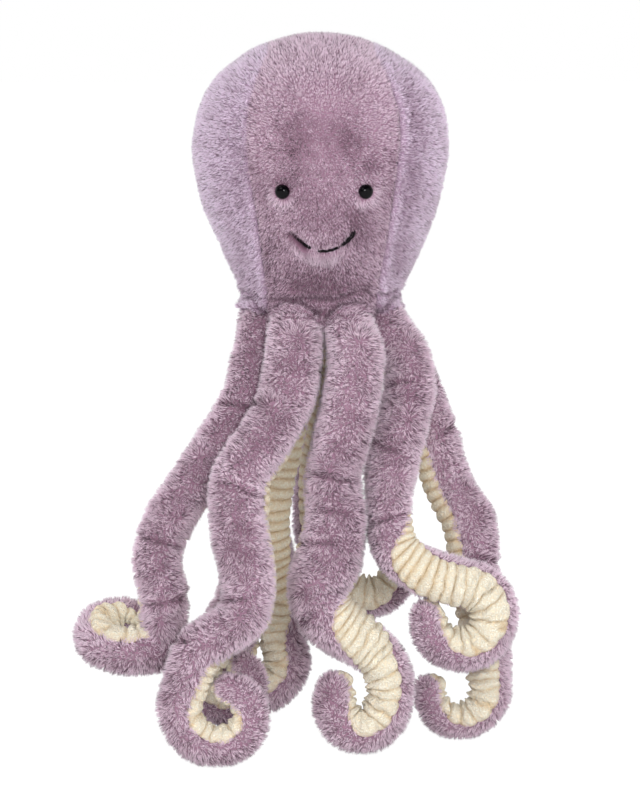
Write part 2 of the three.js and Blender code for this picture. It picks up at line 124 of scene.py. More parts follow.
def seam_half_width(height):
    """How far from the middle the seams beside the face and the back lie at a height."""
    rise = (np.asarray(height) - stand_height) / head_height
    return head_radius * np.interp(rise, *zip(*front_seam_shares))


def seam_back(height):
    """How far back the side seams lie at a height."""
    rise = (np.asarray(height) - stand_height) / head_height
    return -head_radius * np.interp(rise, *zip(*side_seam_shares))


def solve(gap, low, high, rounds=40):
    """Where a falling function of height crosses nothing, for a whole row at once."""
    low, high = np.array(low, float), np.array(high, float)
    for _ in range(rounds):
        middle = (low + high) / 2
        above = gap(middle) > 0
        low, high = np.where(above, middle, low), np.where(above, high, middle)
    return (low + high) / 2


seam_meet = float(solve(lambda z: head_radius_at(z) ** 2 - seam_half_width(z) ** 2 - seam_back(z) ** 2,
                        upper_head, crown))
seam_top = float(solve(lambda z: head_radius_at(z) - seam_half_width(z), upper_head, crown))
crowded_to_seam, crowded_to_neck, crowded_to_side = 0.14, 1.35, 1.3


def middle_panel(face, rows, columns):
    """The face or back panel as a grid: columns from seam to seam, rows from neck to crown seam."""
    share = np.linspace(-1, 1, columns)
    share = share + crowded_to_seam * np.sin(math.pi * share)
    edge = np.sqrt(head_radius_at(neck_line) ** 2 - (share * seam_half_width(neck_line)) ** 2)
    start = np.arctan2(-edge if face else edge, neck_line - head_middle[2])
    crest = solve(lambda z: head_radius_at(z) ** 2 - (share * seam_half_width(z)) ** 2 - seam_back(z) ** 2,
                  np.full(columns, upper_head), np.full(columns, crown))
    end = np.arctan2(seam_back(crest), crest - head_middle[2])
    angle = start + (end - start) * np.linspace(0, 1, rows)[:, None] ** crowded_to_neck

    def gap(away):
        height = head_middle[2] + away * np.cos(angle)
        across = share * seam_half_width(height)
        return head_radius_at(height) ** 2 - (away * np.sin(angle)) ** 2 - across**2

    away = solve(gap, np.zeros_like(angle), np.full_like(angle, 2 * head_radius))
    height = head_middle[2] + away * np.cos(angle)
    return gathered(np.stack([share * seam_half_width(height), away * np.sin(angle), height], -1))


def side_panel(side, front, rows, columns):
    """One of the four side panels as a grid: columns from a middle seam to the side seam."""
    top = seam_meet if front else seam_top
    length = np.interp([neck_line, top - 1e-5], profile[:, 1], profile_length)
    travelled = length[0] + (length[1] - length[0]) * np.linspace(0, 1, rows) ** crowded_to_side
    height = np.interp(travelled, profile_length, profile[:, 1])
    radius = head_radius_at(height)
    across = np.sqrt(np.maximum(radius**2 - np.minimum(seam_half_width(height), radius) ** 2, 0))
    near = -across if front else across
    far = np.maximum(seam_back(height), -across)
    from_angle, to_angle = (np.arcsin(np.clip(y / radius, -1, 1)) for y in (near, far))
    angle = from_angle[:, None] + (to_angle - from_angle)[:, None] * np.linspace(0, 1, columns)
    return gathered(np.stack([side * radius[:, None] * np.cos(angle), radius[:, None] * np.sin(angle),
                              np.repeat(height[:, None], columns, 1)], -1))


def between_arms(grid):
    """How far round from the middle of the nearest arm a place is: 0 over an arm, 1 between two."""
    apart = 360 / arm_count
    degrees = np.degrees(np.arctan2(grid[..., 0], -grid[..., 1]))
    return np.abs((degrees + 180) % apart - apart / 2) / (apart / 2)


edge_above, drawn_out, drawn_in = 0.0028, 0.0062, 0.0035
drawn_down, web_down, front_web_down, front_web_half = 0.0016, 0.0095, 0.0085, 0.012


def gathered(grid):
    """A panel with its lower edge drawn out over the top of each arm, and down between two arms."""
    low_edge = 1 - smoothstep(grid[..., 2], neck_line, stand_height + edge_above)
    web = np.clip((between_arms(grid) - 0.55) / 0.45, 0, 1) ** 1.1
    front = bell(grid[..., 0], front_web_half) * (grid[..., 1] < 0)
    out = low_edge**1.5 * (drawn_out * (1 - web) - drawn_in * web)
    down = low_edge * (drawn_down * (1 - web) + (web_down + front_web_down * front) * web)
    away = np.linalg.norm(grid[..., :2], axis=-1, keepdims=True)
    return np.concatenate([grid[..., :2] * (1 + out[..., None] / away), grid[..., 2:] - down[..., None]], -1)


def drift(points, wave, seed, waves=7):
    """A smooth wandering value from -1 to 1 over space, about one swell a wave."""
    rng = np.random.default_rng(seed)
    turns = unit(rng.normal(size=(waves, 3))) * (2 * math.pi / wave) * rng.uniform(0.6, 1.5, (waves, 1))
    return np.tanh(np.sin(points @ turns.T + rng.uniform(0, 6.3, waves)).sum(-1) / 2.2)


def grid_normals(grid, inside):
    """Unit normals of a grid's points, pointing away from the inside."""
    across, along = np.gradient(grid, axis=1), np.gradient(grid, axis=0)
    normals = unit(np.cross(across, along))
    away = grid - inside
    flip = np.sign((normals * away).sum(-1).mean()) or 1
    return normals * flip


def shell_faces(rows, columns, outward):
    """Quads of a closed thin shell: an outer grid, an inner grid after it, and the rim between."""
    def at(i, j, inner):
        return (i * columns + j) + inner * rows * columns

    quads = []
    i, j = (a.ravel() for a in np.meshgrid(range(rows - 1), range(columns - 1), indexing="ij"))
    outer = np.stack([at(i, j, 0), at(i, j + 1, 0), at(i + 1, j + 1, 0), at(i + 1, j, 0)], 1)
    quads += [outer, outer[:, ::-1] + rows * columns]
    i, j = np.arange(rows - 1), np.arange(columns - 1)
    for row, turned in ((0, False), (rows - 1, True)):
        rim = np.stack([at(row, j, 0), at(row, j, 1), at(row, j + 1, 1), at(row, j + 1, 0)], 1)
        quads.append(rim[:, ::-1] if turned else rim)
    for column, turned in ((0, True), (columns - 1, False)):
        rim = np.stack([at(i, column, 0), at(i, column, 1), at(i + 1, column, 1), at(i + 1, column, 0)], 1)
        quads.append(rim[:, ::-1] if turned else rim)
    quads = np.concatenate(quads)
    return quads if outward else quads[:, ::-1]


root_sink, third_turn, least_lift = 0.0004, 2.0944, 0.25
darkest, palest = 0.02, 0.98


def grow_pile(skin, tufts, seed):
    """Tufts of pile on a skin's grid: corners, triangles, and each corner's shade and place on the hair."""
    rng = np.random.default_rng(seed)
    grid = skin["places"]
    rows, columns = grid.shape[:2]
    a, b, c, d = grid[:-1, :-1], grid[:-1, 1:], grid[1:, 1:], grid[1:, :-1]
    area = np.linalg.norm(np.cross(c - a, d - b), axis=-1) / 2
    total = np.cumsum(area.ravel())
    count = int(total[-1] * 1e6 * tufts["per_mm2"])
    cell = np.searchsorted(total, (np.arange(count) + rng.random(count)) / count * total[-1])
    cell = cell.clip(0, len(total) - 1)
    i, j = cell // (columns - 1), cell % (columns - 1)
    u, v = rng.random((2, count))

    def on_skin(values):
        w = values.reshape(rows, columns, -1)
        u_, v_ = u[:, None], v[:, None]
        got = (w[i, j] * (1 - u_) * (1 - v_) + w[i + 1, j] * u_ * (1 - v_)
               + w[i, j + 1] * (1 - u_) * v_ + w[i + 1, j + 1] * u_ * v_)
        return got if values.ndim == 3 else got[:, 0]

    if "bald" in skin:
        grown = ~skin["bald"](on_skin(grid))
        i, j, u, v, count = i[grown], j[grown], u[grown], v[grown], int(grown.sum())
    root, normal, flow = on_skin(grid), unit(on_skin(skin["normals"])), on_skin(skin["flow"])
    swirl = math.radians(tufts["swirl"])
    loose = 1 - 0.93 * on_skin(skin["calm"])
    turn = drift(root, tufts["swirl_wave"], seed + 1) * swirl + rng.normal(0, tufts["stray"], count)
    turn = turn * loose
    side = np.cross(normal, flow)
    flow = flow * np.cos(turn)[:, None] + side * np.sin(turn)[:, None]
    lean = on_skin(skin["lean"]) * (1 + rng.uniform(-0.4, 0.35, count) * loose)
    lean += 0.15 * drift(root, tufts["swirl_wave"], seed + 2) * loose
    lean = np.clip(lean, 0.05, 1.35)[:, None]
    dim = rng.random(count) < on_skin(skin["dark"])
    length = (on_skin(skin["length"]) * rng.uniform(0.72, 1.18, count) * (1 + 0.04 * dim))[:, None]
    reach = length * (normal * np.cos(lean) + flow * np.sin(lean))

    # Neighbouring hairs lock together: each tip is drawn towards the tip of its lock
    leaders = rng.choice(count, max(1, count // tufts["lock"]), replace=False)
    tree = kdtree.KDTree(len(leaders))
    for k, leader in enumerate(leaders):
        tree.insert(root[leader], k)
    tree.balance()
    lock = leaders[[tree.find(p)[1] for p in root]]
    pull = tufts["pull"] * (rng.uniform(0.5, 1, count) * loose)[:, None]
    tip = root + reach + pull * ((root + reach)[lock] - (root + reach))
    lift = ((tip - root) * normal).sum(-1, keepdims=True)
    tip += normal * np.maximum(least_lift * length - lift, 0)
    if "floor" in tufts:
        tip[:, 2] = np.maximum(tip[:, 2], tufts["floor"] * rng.uniform(1, 4, count))

    axis = unit(tip - root)
    one = unit(np.cross(axis, normal + 1e-3 * flow))
    two = np.cross(axis, one)
    spin = rng.uniform(0, 2 * math.pi, count)
    width = (tufts["width"] * rng.uniform(0.7, 1.25, count))[:, None]
    sunk = root - normal * root_sink
    corners = []
    for k in range(3):
        bearing = spin + third_turn * k
        corners.append(sunk + width * (np.cos(bearing)[:, None] * one + np.sin(bearing)[:, None] * two))
    points = np.stack([*corners, tip], 1).reshape(-1, 3)
    first = np.arange(count)[:, None] * 4
    faces = np.concatenate([first + [0, 1, 3], first + [1, 2, 3], first + [2, 0, 3], first + [0, 2, 1]])
    lock_shade = rng.normal(0, 1, count)[lock]
    pale = on_skin(skin["pale"])[:, None]
    shade = on_skin(skin["shade"]) + tufts["lock_shade"] * lock_shade
    shade += rng.normal(0, tufts["hair_shade"], count)
    shade -= rng.uniform(0.46, 0.80, count) * dim
    shade = np.clip(shade, darkest, palest)
    up_hair = np.array([0.07, 0.08, 0.1, 0.95]) + pale * [0.5, 0.5, 0.5, 0.04]
    marks = np.stack([np.repeat(shade, 4) + np.tile([-0.006, 0, 0.006, 0], count), up_hair.ravel()], 1)
    return points, faces, marks


def cover_piece(name, skin, tufts, seed):
    """A cut piece of plush: a closed shell of backing with its pile, as one mesh with its own map."""
    grid = skin["places"]
    rows, columns = grid.shape[:2]
    inner = grid - skin["normals"] * backing
    outward = (np.cross(grid[rows // 2, columns // 2 + 1] - grid[rows // 2, columns // 2],
                        grid[rows // 2 + 1, columns // 2] - grid[rows // 2, columns // 2])
               @ skin["normals"][rows // 2, columns // 2]) > 0
    quads = shell_faces(rows, columns, outward)
    shell = np.concatenate([grid.reshape(-1, 3), inner.reshape(-1, 3)])
    triangles = np.concatenate([quads[:, [0, 1, 2]], quads[:, [0, 2, 3]]])
    rng = np.random.default_rng(seed)
    shade = np.tile(skin["shade"].ravel(), 2)
    marks = np.stack([np.clip(shade, darkest, palest), rng.uniform(0.005, 0.05, len(shade))], 1)
    tuft_points, tuft_faces, tuft_marks = grow_pile(skin, tufts, seed)
    points = np.concatenate([shell, tuft_points])
    faces = np.concatenate([triangles, tuft_faces + len(shell)])
    marks = np.concatenate([marks, tuft_marks])
    return mesh_piece(name, points, faces, marks)


def mesh_piece(name, points, faces, marks=None):
    """An object from corners and triangles, smooth, with a map from a pair of numbers at each corner."""
    mesh = bpy.data.meshes.new(name)
    mesh.vertices.add(len(points))
    mesh.vertices.foreach_set("co", np.asarray(points, np.float32).ravel())
    mesh.loops.add(3 * len(faces))
    mesh.loops.foreach_set("vertex_index", np.asarray(faces, np.int32).ravel())
    mesh.polygons.add(len(faces))
    mesh.polygons.foreach_set("loop_start", np.arange(0, 3 * len(faces), 3, dtype=np.int32))
    mesh.update(calc_edges=True)
    mesh.polygons.foreach_set("use_smooth", np.ones(len(faces), bool))
    if marks is not None:
        layer = mesh.uv_layers.new(name="OFBake")
        layer.uv.foreach_set("vector", np.asarray(marks[faces.ravel()], np.float32).ravel())
    mesh.validate()
    piece = bpy.data.objects.new(name, mesh)
    bpy.context.scene.collection.objects.link(piece)
    return piece


def srgb(*levels):
    """A colour as it looks, 0 to 255, as the linear numbers that a shader takes."""
    linear = [v / 12.92 if v <= 0.04045 else ((v + 0.055) / 1.055) ** 2.4
              for v in (x / 255 for x in levels)]
    return (*linear, 1)


class Signal:
    """One output in a material. Arithmetic on it adds the Math nodes."""

    def __init__(self, look, socket):
        self.look, self.socket = look, socket

    def maths(self, operation, a, b):
        return self.look.node("ShaderNodeMath", {"operation": operation}, {0: a, 1: b})

    def __add__(self, other): return self.maths("ADD", self, other)
    def __radd__(self, other): return self.maths("ADD", other, self)
    def __sub__(self, other): return self.maths("SUBTRACT", self, other)
    def __rsub__(self, other): return self.maths("SUBTRACT", other, self)
    def __mul__(self, other): return self.maths("MULTIPLY", self, other)
    def __rmul__(self, other): return self.maths("MULTIPLY", other, self)


class Shading:
    """The nodes of a material or of the sky."""

    def __init__(self, tree):
        self.tree = tree

    def node(self, kind, settings=None, values=None, out=0):
        made = self.tree.nodes.new(kind)
        for setting, value in (settings or {}).items():
            if setting == "stops":
                ramp = made.color_ramp
                while len(ramp.elements) < len(value):
                    ramp.elements.new(0.5)
                for element, (place, colour) in zip(ramp.elements, value):
                    element.position, element.color = place, colour
            else:
                setattr(made, setting, value)
        for socket, value in (values or {}).items():
            if isinstance(value, Signal):
                self.tree.links.new(value.socket, made.inputs[socket])
            else:
                made.inputs[socket].default_value = value
        return Signal(self, made.outputs[out])

    def mix(self, share, a, b, blend="MIX"):
        kind = {"data_type": "RGBA", "blend_type": blend}
        return self.node("ShaderNodeMix", kind, {0: share, 6: a, 7: b}, out=2)

    def noise(self, place, scale, **finer):
        values = {"Vector": place, "Scale": scale} | {name.title(): value for name, value in finer.items()}
        return self.node("ShaderNodeTexNoise", {"noise_dimensions": "3D"}, values)


class Look(Shading):
    """A material: a Principled surface and the nodes that feed it."""

    def __init__(self, name, **constants):
        self.material = bpy.data.materials.new(name)
        self.material.use_nodes = True
        super().__init__(self.material.node_tree)
        self.surface = self.tree.nodes["Principled BSDF"]
        for socket, value in constants.items():
            self.feed(socket.replace("_", " ").title().replace("Ior", "IOR"), value)

    def feed(self, socket, value):
        if isinstance(value, Signal):
            self.tree.links.new(value.socket, self.surface.inputs[socket])
        else:
            self.surface.inputs[socket].default_value = value

    def on_piece(self):
        """Places in the object's own space, so that a pattern moves with the piece."""
        return self.node("ShaderNodeTexCoord", out="Object")


def plush_look(name, root, body, tip):
    """Frosted plush: dark roots, a mauve body and pale tips, lighter or darker from lock to lock."""
    look = Look(name, roughness=0.9, sheen_weight=0.25, sheen_roughness=0.5, specular_ior_level=0.15)
    marks = look.node("ShaderNodeUVMap", {"uv_map": "OFBake"})
    parts = look.tree.nodes.new("ShaderNodeSeparateXYZ")
    look.tree.links.new(marks.socket, parts.inputs[0])
    shade, up = Signal(look, parts.outputs[0]), Signal(look, parts.outputs[1])
    along = look.node("ShaderNodeValToRGB", {"stops": [(0, root), (0.4, body), (0.9, tip)]}, {0: up})
    tints = [(0, (0.15, 0.09, 0.12, 1)), (0.4, (0.60, 0.52, 0.56, 1)),
             (0.7, (0.94, 0.92, 0.93, 1)), (1, (1, 1, 1, 1))]
    tint = look.node("ShaderNodeValToRGB", {"stops": tints}, {0: shade})
    look.feed("Base Color", look.mix(1.0, along, tint, "MULTIPLY"))
    return look.material


plush = plush_look("mauve_plush", srgb(148, 116, 135), srgb(222, 195, 213), srgb(246, 228, 242))
# The side panels take a paler, bluer copy of the face's plush: painted rim light on the sides of the head.
rim_lit_side_plush = plush_look("lavender_rim_lit_plush", srgb(164, 139, 161), srgb(228, 206, 228), srgb(248, 236, 252))
arm_plush = plush_look("long_mauve_plush", srgb(144, 111, 130), srgb(226, 200, 216), srgb(248, 230, 243))

eye_spacing, eye_size, eye_height = 0.056, 0.010, stand_height + 0.434 * head_height
smile_width, smile_depth, smile_height = 0.042, 0.012, stand_height + 0.212 * head_height
eye_across = eye_spacing / 2
eye_back = -math.sqrt(head_radius_at(eye_height) ** 2 - eye_across**2)
eye_places = np.array([[side * eye_across, eye_back, eye_height] for side in (-1, 1)])
bow = np.linspace(-1, 1, 61)
turned_up = 0.065 + 0.095 * np.sign(bow)
smile_across = bow * smile_width / 2
smile_rise = smile_height + smile_depth * (bow**2 + turned_up * bow**6)
smile_back = -np.sqrt(head_radius_at(smile_rise) ** 2 - smile_across**2)
smile_line = np.stack([smile_across, smile_back, smile_rise], 1)

# How much of the thread shows, from the left end of the smile to its right end
thread_shown = [(-0.021, 0), (-0.0140, 0), (-0.0132, 1), (-0.0095, 1), (-0.0088, 0), (-0.0040, 0),
                (-0.0033, 1), (0.0088, 1), (0.0100, 0.45), (0.0118, 0.45), (0.0130, 1), (0.021, 1)]

# Darker patches of the face, and lighter ones: across, up, half width, half height and how dark
face_patches = [
    (-0.0195, 0.414, 0.007, 0.017, 0.26), (0.0150, 0.421, 0.009, 0.012, 0.22),
    (0.030, 0.402, 0.008, 0.006, 0.18), (0.021, 0.366, 0.006, 0.009, 0.30),
    (0.026, 0.352, 0.007, 0.010, 0.16), (-0.012, 0.366, 0.008, 0.006, 0.10),
    (0.010, 0.337, 0.020, 0.005, 0.10), (-0.036, 0.345, 0.006, 0.016, 0.20),
    (-0.002, 0.446, 0.014, 0.012, -0.14), (0.034, 0.440, 0.008, 0.022, -0.16),
    (-0.003, 0.418, 0.006, 0.016, -0.12), (-0.024, 0.392, 0.006, 0.006, 0.14),
    # The last patch darkens the face beside the left eye: painted shadow.
    (-0.0355, 0.3855, 0.0026, 0.0036, 0.30)]

panels = {
    "face_panel": (middle_panel(face=True, rows=130, columns=80), plush),
    "back_panel": (middle_panel(face=False, rows=96, columns=46), plush),
}
for word, side in (("left", -1), ("right", 1)):
    panels[f"head_{word}_front_panel"] = (side_panel(side, front=True, rows=100, columns=30), rim_lit_side_plush)
    panels[f"head_{word}_back_panel"] = (side_panel(side, front=False, rows=84, columns=32), rim_lit_side_plush)

seam_points = np.concatenate([grid[:, [0, -1]].reshape(-1, 3) for grid, _ in panels.values()]
                             + [panels["face_panel"][0][-1]])
seam_tree = kdtree.KDTree(len(seam_points))
for k, p in enumerate(seam_points):
    seam_tree.insert(p, k)
seam_tree.balance()

# The pile's tufts: how many, how thick, how they swirl and stray, how many hairs lock together and how
# far, and how the shade changes from lock to lock and from hair to hair
head_tufts = {"per_mm2": 1.46, "width": 0.00031, "swirl": 60, "swirl_wave": 0.012, "stray": 1.1,
              "lock": 8, "pull": 0.55, "lock_shade": 0.027, "hair_shade": 0.027}

# The neck is gathered over the arms. Each fold is a row of places, in degrees round from the front
# and metres above the stand, and one more bows over the top of each arm.
neck_folds = [
    [(-40, 0.0042), (-25, 0.0050), (-9, 0.0056), (6, 0.0056), (15, 0.0062), (21, 0.0095), (28, 0.0110),
     (34, 0.0092), (40, 0.0042)],
    [(-66, 0.0060), (-56, 0.0052), (-46, 0.0030)],
    [(42, 0.0080), (50, 0.0056), (60, 0.0072), (68, 0.0080)],
    [(80, 0.0074), (94, 0.0040), (106, 0.0078), (118, 0.0080), (128, 0.0034)],
    [(132, 0.0020), (146, 0.0068), (160, 0.0080), (176, 0.0046)],
    [(-178, 0.0050), (-162, 0.0078), (-148, 0.0066), (-136, 0.0026)],
    [(-130, 0.0040), (-116, 0.0082), (-104, 0.0072), (-92, 0.0034)],
    [(-88, 0.0070), (-78, 0.0084), (-66, 0.0060)],
]
bow_half, bow_top, bow_drop = 19, 0.0026, 0.0095
for middle in np.arange(-180 + 180 / arm_count, 180, 360 / arm_count):
    neck_folds.append([(middle + across, bow_top - bow_drop * abs(across / bow_half) ** 2.4)
                       for across in range(-bow_half, bow_half + 1, 2)])
fold_points = []
for row in neck_folds:
    stations = np.linspace(0, len(row) - 1, 12 * len(row))
    degrees, rise = (np.interp(stations, range(len(row)), each) for each in zip(*row))
    fold_points += list(zip(np.radians(degrees) * neck_radius, rise + stand_height))
fold_points = np.array(fold_points)
bald_eye, bald_thread = 0.0054, 0.0016


def bald_face(roots):
    """True where the face has no pile: under the eyes, and along the thread where it shows."""
    roots = roots - head_axis
    to_eye = np.min([np.linalg.norm(roots - eye, axis=-1) for eye in eye_places], 0)
    gap = np.linalg.norm(roots[:, None] - smile_line, axis=-1)
    shown = np.interp(smile_line[gap.argmin(-1)][:, 0], *zip(*thread_shown)) > 0.5
    return (to_eye < bald_eye) | (shown & (gap.min(-1) < bald_thread))


def on_face(grid, across, up, half_width, half_height):
    """A soft oval patch round a place on the face."""
    return np.exp(-(((grid[..., 0] - across) / half_width) ** 2 + ((grid[..., 2] - up) / half_height) ** 2))


# The pile has a length and a lean. Seams are dents beside a low ridge, neck folds are creases beside
# low rolls, and the sides of the head stand out above and draw in below. A pair of numbers says
# where a change begins and ends.
# The crown and the flanks of the side panels are lightened as painted light. The seams, the neck creases and
# the lower edge between the arms are darkened as painted shade.
pile_length, pile_lean, pile_shade, pile_dark = 0.0036, 0.29, 0.58, 0.13
shade_wave, lock_wave, dark_wave, parting_half = 0.05, 0.014, 0.007, 0.05
seam_fade, left_seam_fade = (0.450, 0.471), (0.372, 0.395)
neck_edge, neck_side = (stand_height - 0.002, stand_height + 0.002), (0.03, 0.05)
seam_reach, seam_dent, side_seam_dent, seam_shade_reach, seam_bare = 0.0020, 0.0026, 0.0012, 0.0018, 0.0010
ridge_away, ridge_reach, ridge_height = 0.0026, 0.0020, 0.0012
fold_reach, fold_dent, fold_bare, fold_shade_reach, fold_band = 0.0011, 0.0030, 0.0008, 0.0016, 0.022
roll_away, roll_reach, roll_height = 0.0032, 0.0018, 0.0017
neck_in, neck_in_at, neck_in_reach, web_in = 0.0016, 0.313, 0.009, 0.0010
cheek_out, cheek_more, cheek_at, cheek_reach, cheek_side = 0.0017, 0.0009, 0.437, 0.028, (0.03, 0.06)
cheek_in, cheek_in_at, cheek_in_side = 0.0016, 0.342, (0.035, 0.055)
lit_crown, pale_temple, temple_up, rim_lit_flank = (0.41, 0.47), (0.02, 0.042), (0.38, 0.43), (0.055, 0.085)
shadow_side, shadow_away, shadow_reach = (0.02, 0.04), 0.012, 0.010
lump_height, lump_wave, gather_height, gather_wave, gather_reach = 0.0005, 0.035, 0.0008, 0.009, 0.012
chin, nose = (0, 0.321, 0.032, 0.011), (0, smile_height + 0.014, 0.020, 0.012)
nose_height, smile_dent, hollow_dent, eye_dent = 0.0022, 0.0014, 0.0034, 0.0008
clip_away, clip_reach, eye_shadow_away, eye_shadow_reach, eye_dent_reach = 0.0062, 0.0042, 0.0050, 0.0014, 0.006
thread_edge, open_end_at, smile_dent_reach = (-0.0005, 0.0005), (-0.0135, -0.0095), 0.0022
lip_reach, lid_reach, hollow_reach, brushed_reach = 0.0026, 0.0036, 0.0038, 0.0105
brushed_left, brushed_right = (-0.024, -0.018), (0.009, 0.016)
brushed_light, brushed_frost = (0.003, 0.010), (0.002, 0.008)

for seed, (name, (grid, look)) in enumerate(panels.items()):
    across, up = grid[..., 0], grid[..., 2]
    found = [seam_tree.find(p) for p in grid.reshape(-1, 3)]
    near = np.array([f[0] for f in found])
    away = np.array([f[2] for f in found]).reshape(across.shape)
    normals = grid_normals(grid, head_middle - head_axis)

    # The seams fade out near the crown, and the left one sooner
    topmost = 1 - 0.92 * smoothstep(up, *seam_fade)
    topmost *= 1 - 0.7 * (across < 0) * smoothstep(up, *left_seam_fade)
    at_seam = bell(away, seam_reach) * topmost
    low_down = (1 - smoothstep(up, *neck_edge)) * smoothstep(between_arms(grid), 0.55, 0.85)
    on_neck = np.stack([np.arctan2(across, -grid[..., 1]) * neck_radius, up], -1)
    to_fold = np.full(across.shape, 1.0)
    band = up < stand_height + fold_band
    to_fold[band] = np.linalg.norm(on_neck[band][:, None] - fold_points, axis=-1).min(1)
    folded, beside = bell(to_fold, fold_reach), bell(to_fold - roll_away, roll_reach)

    swell = -head_inset - web_in * low_down + lump_height * drift(grid, lump_wave, 90)
    swell -= neck_in * bell(up - neck_in_at, neck_in_reach) * smoothstep(np.abs(across), *neck_side)
    cheek = smoothstep(np.abs(across), *cheek_side) * bell(up - cheek_at, cheek_reach)
    swell += (cheek_out + cheek_more * np.sign(across)) * cheek
    swell -= cheek_in * smoothstep(-across, *cheek_in_side) * bell(up - cheek_in_at, cheek_reach)
    swell += roll_height * beside - fold_dent * folded
    swell += gather_height * drift(grid, gather_wave, 93) * bell(up - stand_height, gather_reach)

    length = pile_length - seam_bare * at_seam - fold_bare * folded
    lean = pile_lean + 0.5 * at_seam + 0.3 * beside
    pale = 0 * away
    calm = 0.3 * at_seam
    # More dark hairs in the neck creases: painted shade.
    dark = pile_dark + 0.14 * drift(grid, dark_wave, 94) + 0.3 * folded
    from_seam = unit(grid - near.reshape(grid.shape)) * (1.5 * at_seam)[..., None]
    outward = np.sign(grid[..., :1]) * np.minimum(np.abs(grid[..., :1]) / parting_half, 1) * [1, 0, 0]
    flow = np.array([0, 0, -0.7]) + 0.5 * outward + from_seam
    shade = pile_shade + 0.06 * drift(grid, shade_wave, 91) + 0.06 * drift(grid, lock_wave, 92)
    # Painted light on the crown, and painted shade on the low edge between the arms and down the neck
    # creases.
    shade += 0.15 * smoothstep(up, *lit_crown) - 0.22 * low_down - 0.35 * bell(to_fold, fold_shade_reach)
    if look is plush:
        swell -= seam_dent * at_seam
        # Painted shade down the seam's dent, with more dark hairs in it.
        shade -= 0.3 * bell(away, seam_shade_reach) * topmost
        shade += 0.10 * smoothstep(np.abs(across), *pale_temple) * smoothstep(up, *temple_up)
        dark += 0.50 * on_face(grid, *chin) + 0.4 * at_seam
        shade -= 0.20 * on_face(grid, *chin)
    else:
        ridge = bell(away - ridge_away, ridge_reach) * topmost
        swell += ridge_height * ridge - side_seam_dent * at_seam
        # The side panels grow paler towards their outer flanks: painted rim light.
        shade += 0.10 * ridge + 0.14 * smoothstep(np.abs(across), *rim_lit_flank)
        shade -= 0.10 * smoothstep(across, *shadow_side) * bell(away - shadow_away, shadow_reach)
        dark -= 0.15 * ridge
    if name == "face_panel":
        # Round the eyes the pile is clipped at the low outer side, and a ring right beside each eye is
        # darkened as painted shadow. Over the smile it makes a lip, below the smile it is brushed down and
        # pale, and at the left end it leaves a hollow that is darkened as painted shade.
        to_eye = np.min([np.linalg.norm(grid - eye, axis=-1) for eye in eye_places], 0)
        from_eye = unit(grid - eye_places[(across > 0).astype(int)])
        low_side = smoothstep(-from_eye[..., 2] + 0.5 * from_eye[..., 0] * np.sign(across), -0.3, 0.5)
        clipped = low_side * bell(np.maximum(to_eye - clip_away, 0), clip_reach)
        gap = np.linalg.norm(grid[:, :, None] - smile_line, axis=-1)
        to_smile, nearest = gap.min(-1), smile_line[gap.argmin(-1)]
        below = smoothstep(nearest[..., 2] - up, *thread_edge)
        open_end = 1 - smoothstep(across, *open_end_at)
        over = (1 - np.interp(nearest[..., 0], *zip(*thread_shown))) * (1 - open_end)
        sideways = smoothstep(across, *brushed_left) * (1 - smoothstep(across, *brushed_right))
        brushed = below * np.exp(-(to_smile / brushed_reach) ** 4) * sideways
        lip = bell(to_smile, lip_reach) * (1 - below)
        shaded_hollow = below * bell(to_smile, hollow_reach) * open_end
        lid = bell(to_smile, lid_reach) * (1 - below) * open_end
        length *= (1 + 0.45 * clipped + 0.5 * brushed * (1 - shaded_hollow) + 0.5 * lip * over
                   - 0.25 * lip * (1 - over) - 0.3 * lid)
        lean += 0.85 * clipped + 0.9 * brushed + 0.7 * lip * over + 0.3 * lip * (1 - lid)
        calm = np.clip(calm + clipped + brushed + 0.7 * lip, 0, 1)
        flow += 5 * from_eye * clipped[..., None] + 5 * np.array([0, 0, -1.0]) * brushed[..., None]
        flow += 3 * np.array([0.1, 0, -1.0]) * (lip * over)[..., None]
        flow += 3 * np.array([0, 0, 1.0]) * lid[..., None]
        shade += 0.16 * clipped + brushed * (0.22 * smoothstep(to_smile, *brushed_light) - 0.10)
        # Painted shade in the hollow at the smile's left end.
        shade += 0.05 * lip - 0.85 * shaded_hollow
        # Painted shadow in a ring right round each eye.
        shade -= 0.25 * bell(np.maximum(to_eye - eye_shadow_away, 0), eye_shadow_reach)
        frosted = 0.4 * brushed * smoothstep(to_smile, *brushed_frost)
        pale = np.maximum(pale, np.maximum(0.5 * clipped, frosted) * (1 - shaded_hollow))
        for *place, deep in face_patches:
            dark += 2 * deep * on_face(grid, *place)
            shade -= 0.25 * deep * on_face(grid, *place)
        dark = dark * (1 - brushed) * (1 - clipped) + 0.8 * shaded_hollow
        swell += nose_height * on_face(grid, *nose)
        swell -= smile_dent * bell(to_smile, smile_dent_reach) + hollow_dent * shaded_hollow
        swell -= eye_dent * bell(to_eye, eye_dent_reach)
    flow = unit(flow - (flow * normals).sum(-1, keepdims=True) * normals)
    skin = {"places": grid + normals * swell[..., None] + head_axis, "normals": normals, "flow": flow,
            "lean": lean, "length": length, "shade": shade, "pale": pale, "calm": calm, "dark": dark}
    if name == "face_panel":
        skin["bald"] = bald_face
    piece = cover_piece(name + "_plush", skin, head_tufts, 10 + seed)
    piece.data.materials.append(look)
    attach(piece, "head")
    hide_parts(name)

# The eyes
# Each eye is a glossy black plastic dome on a shank, pushed through the face and locked inside by
# a plain washer. The pile round it is clipped short, and overhangs its top edge a little.

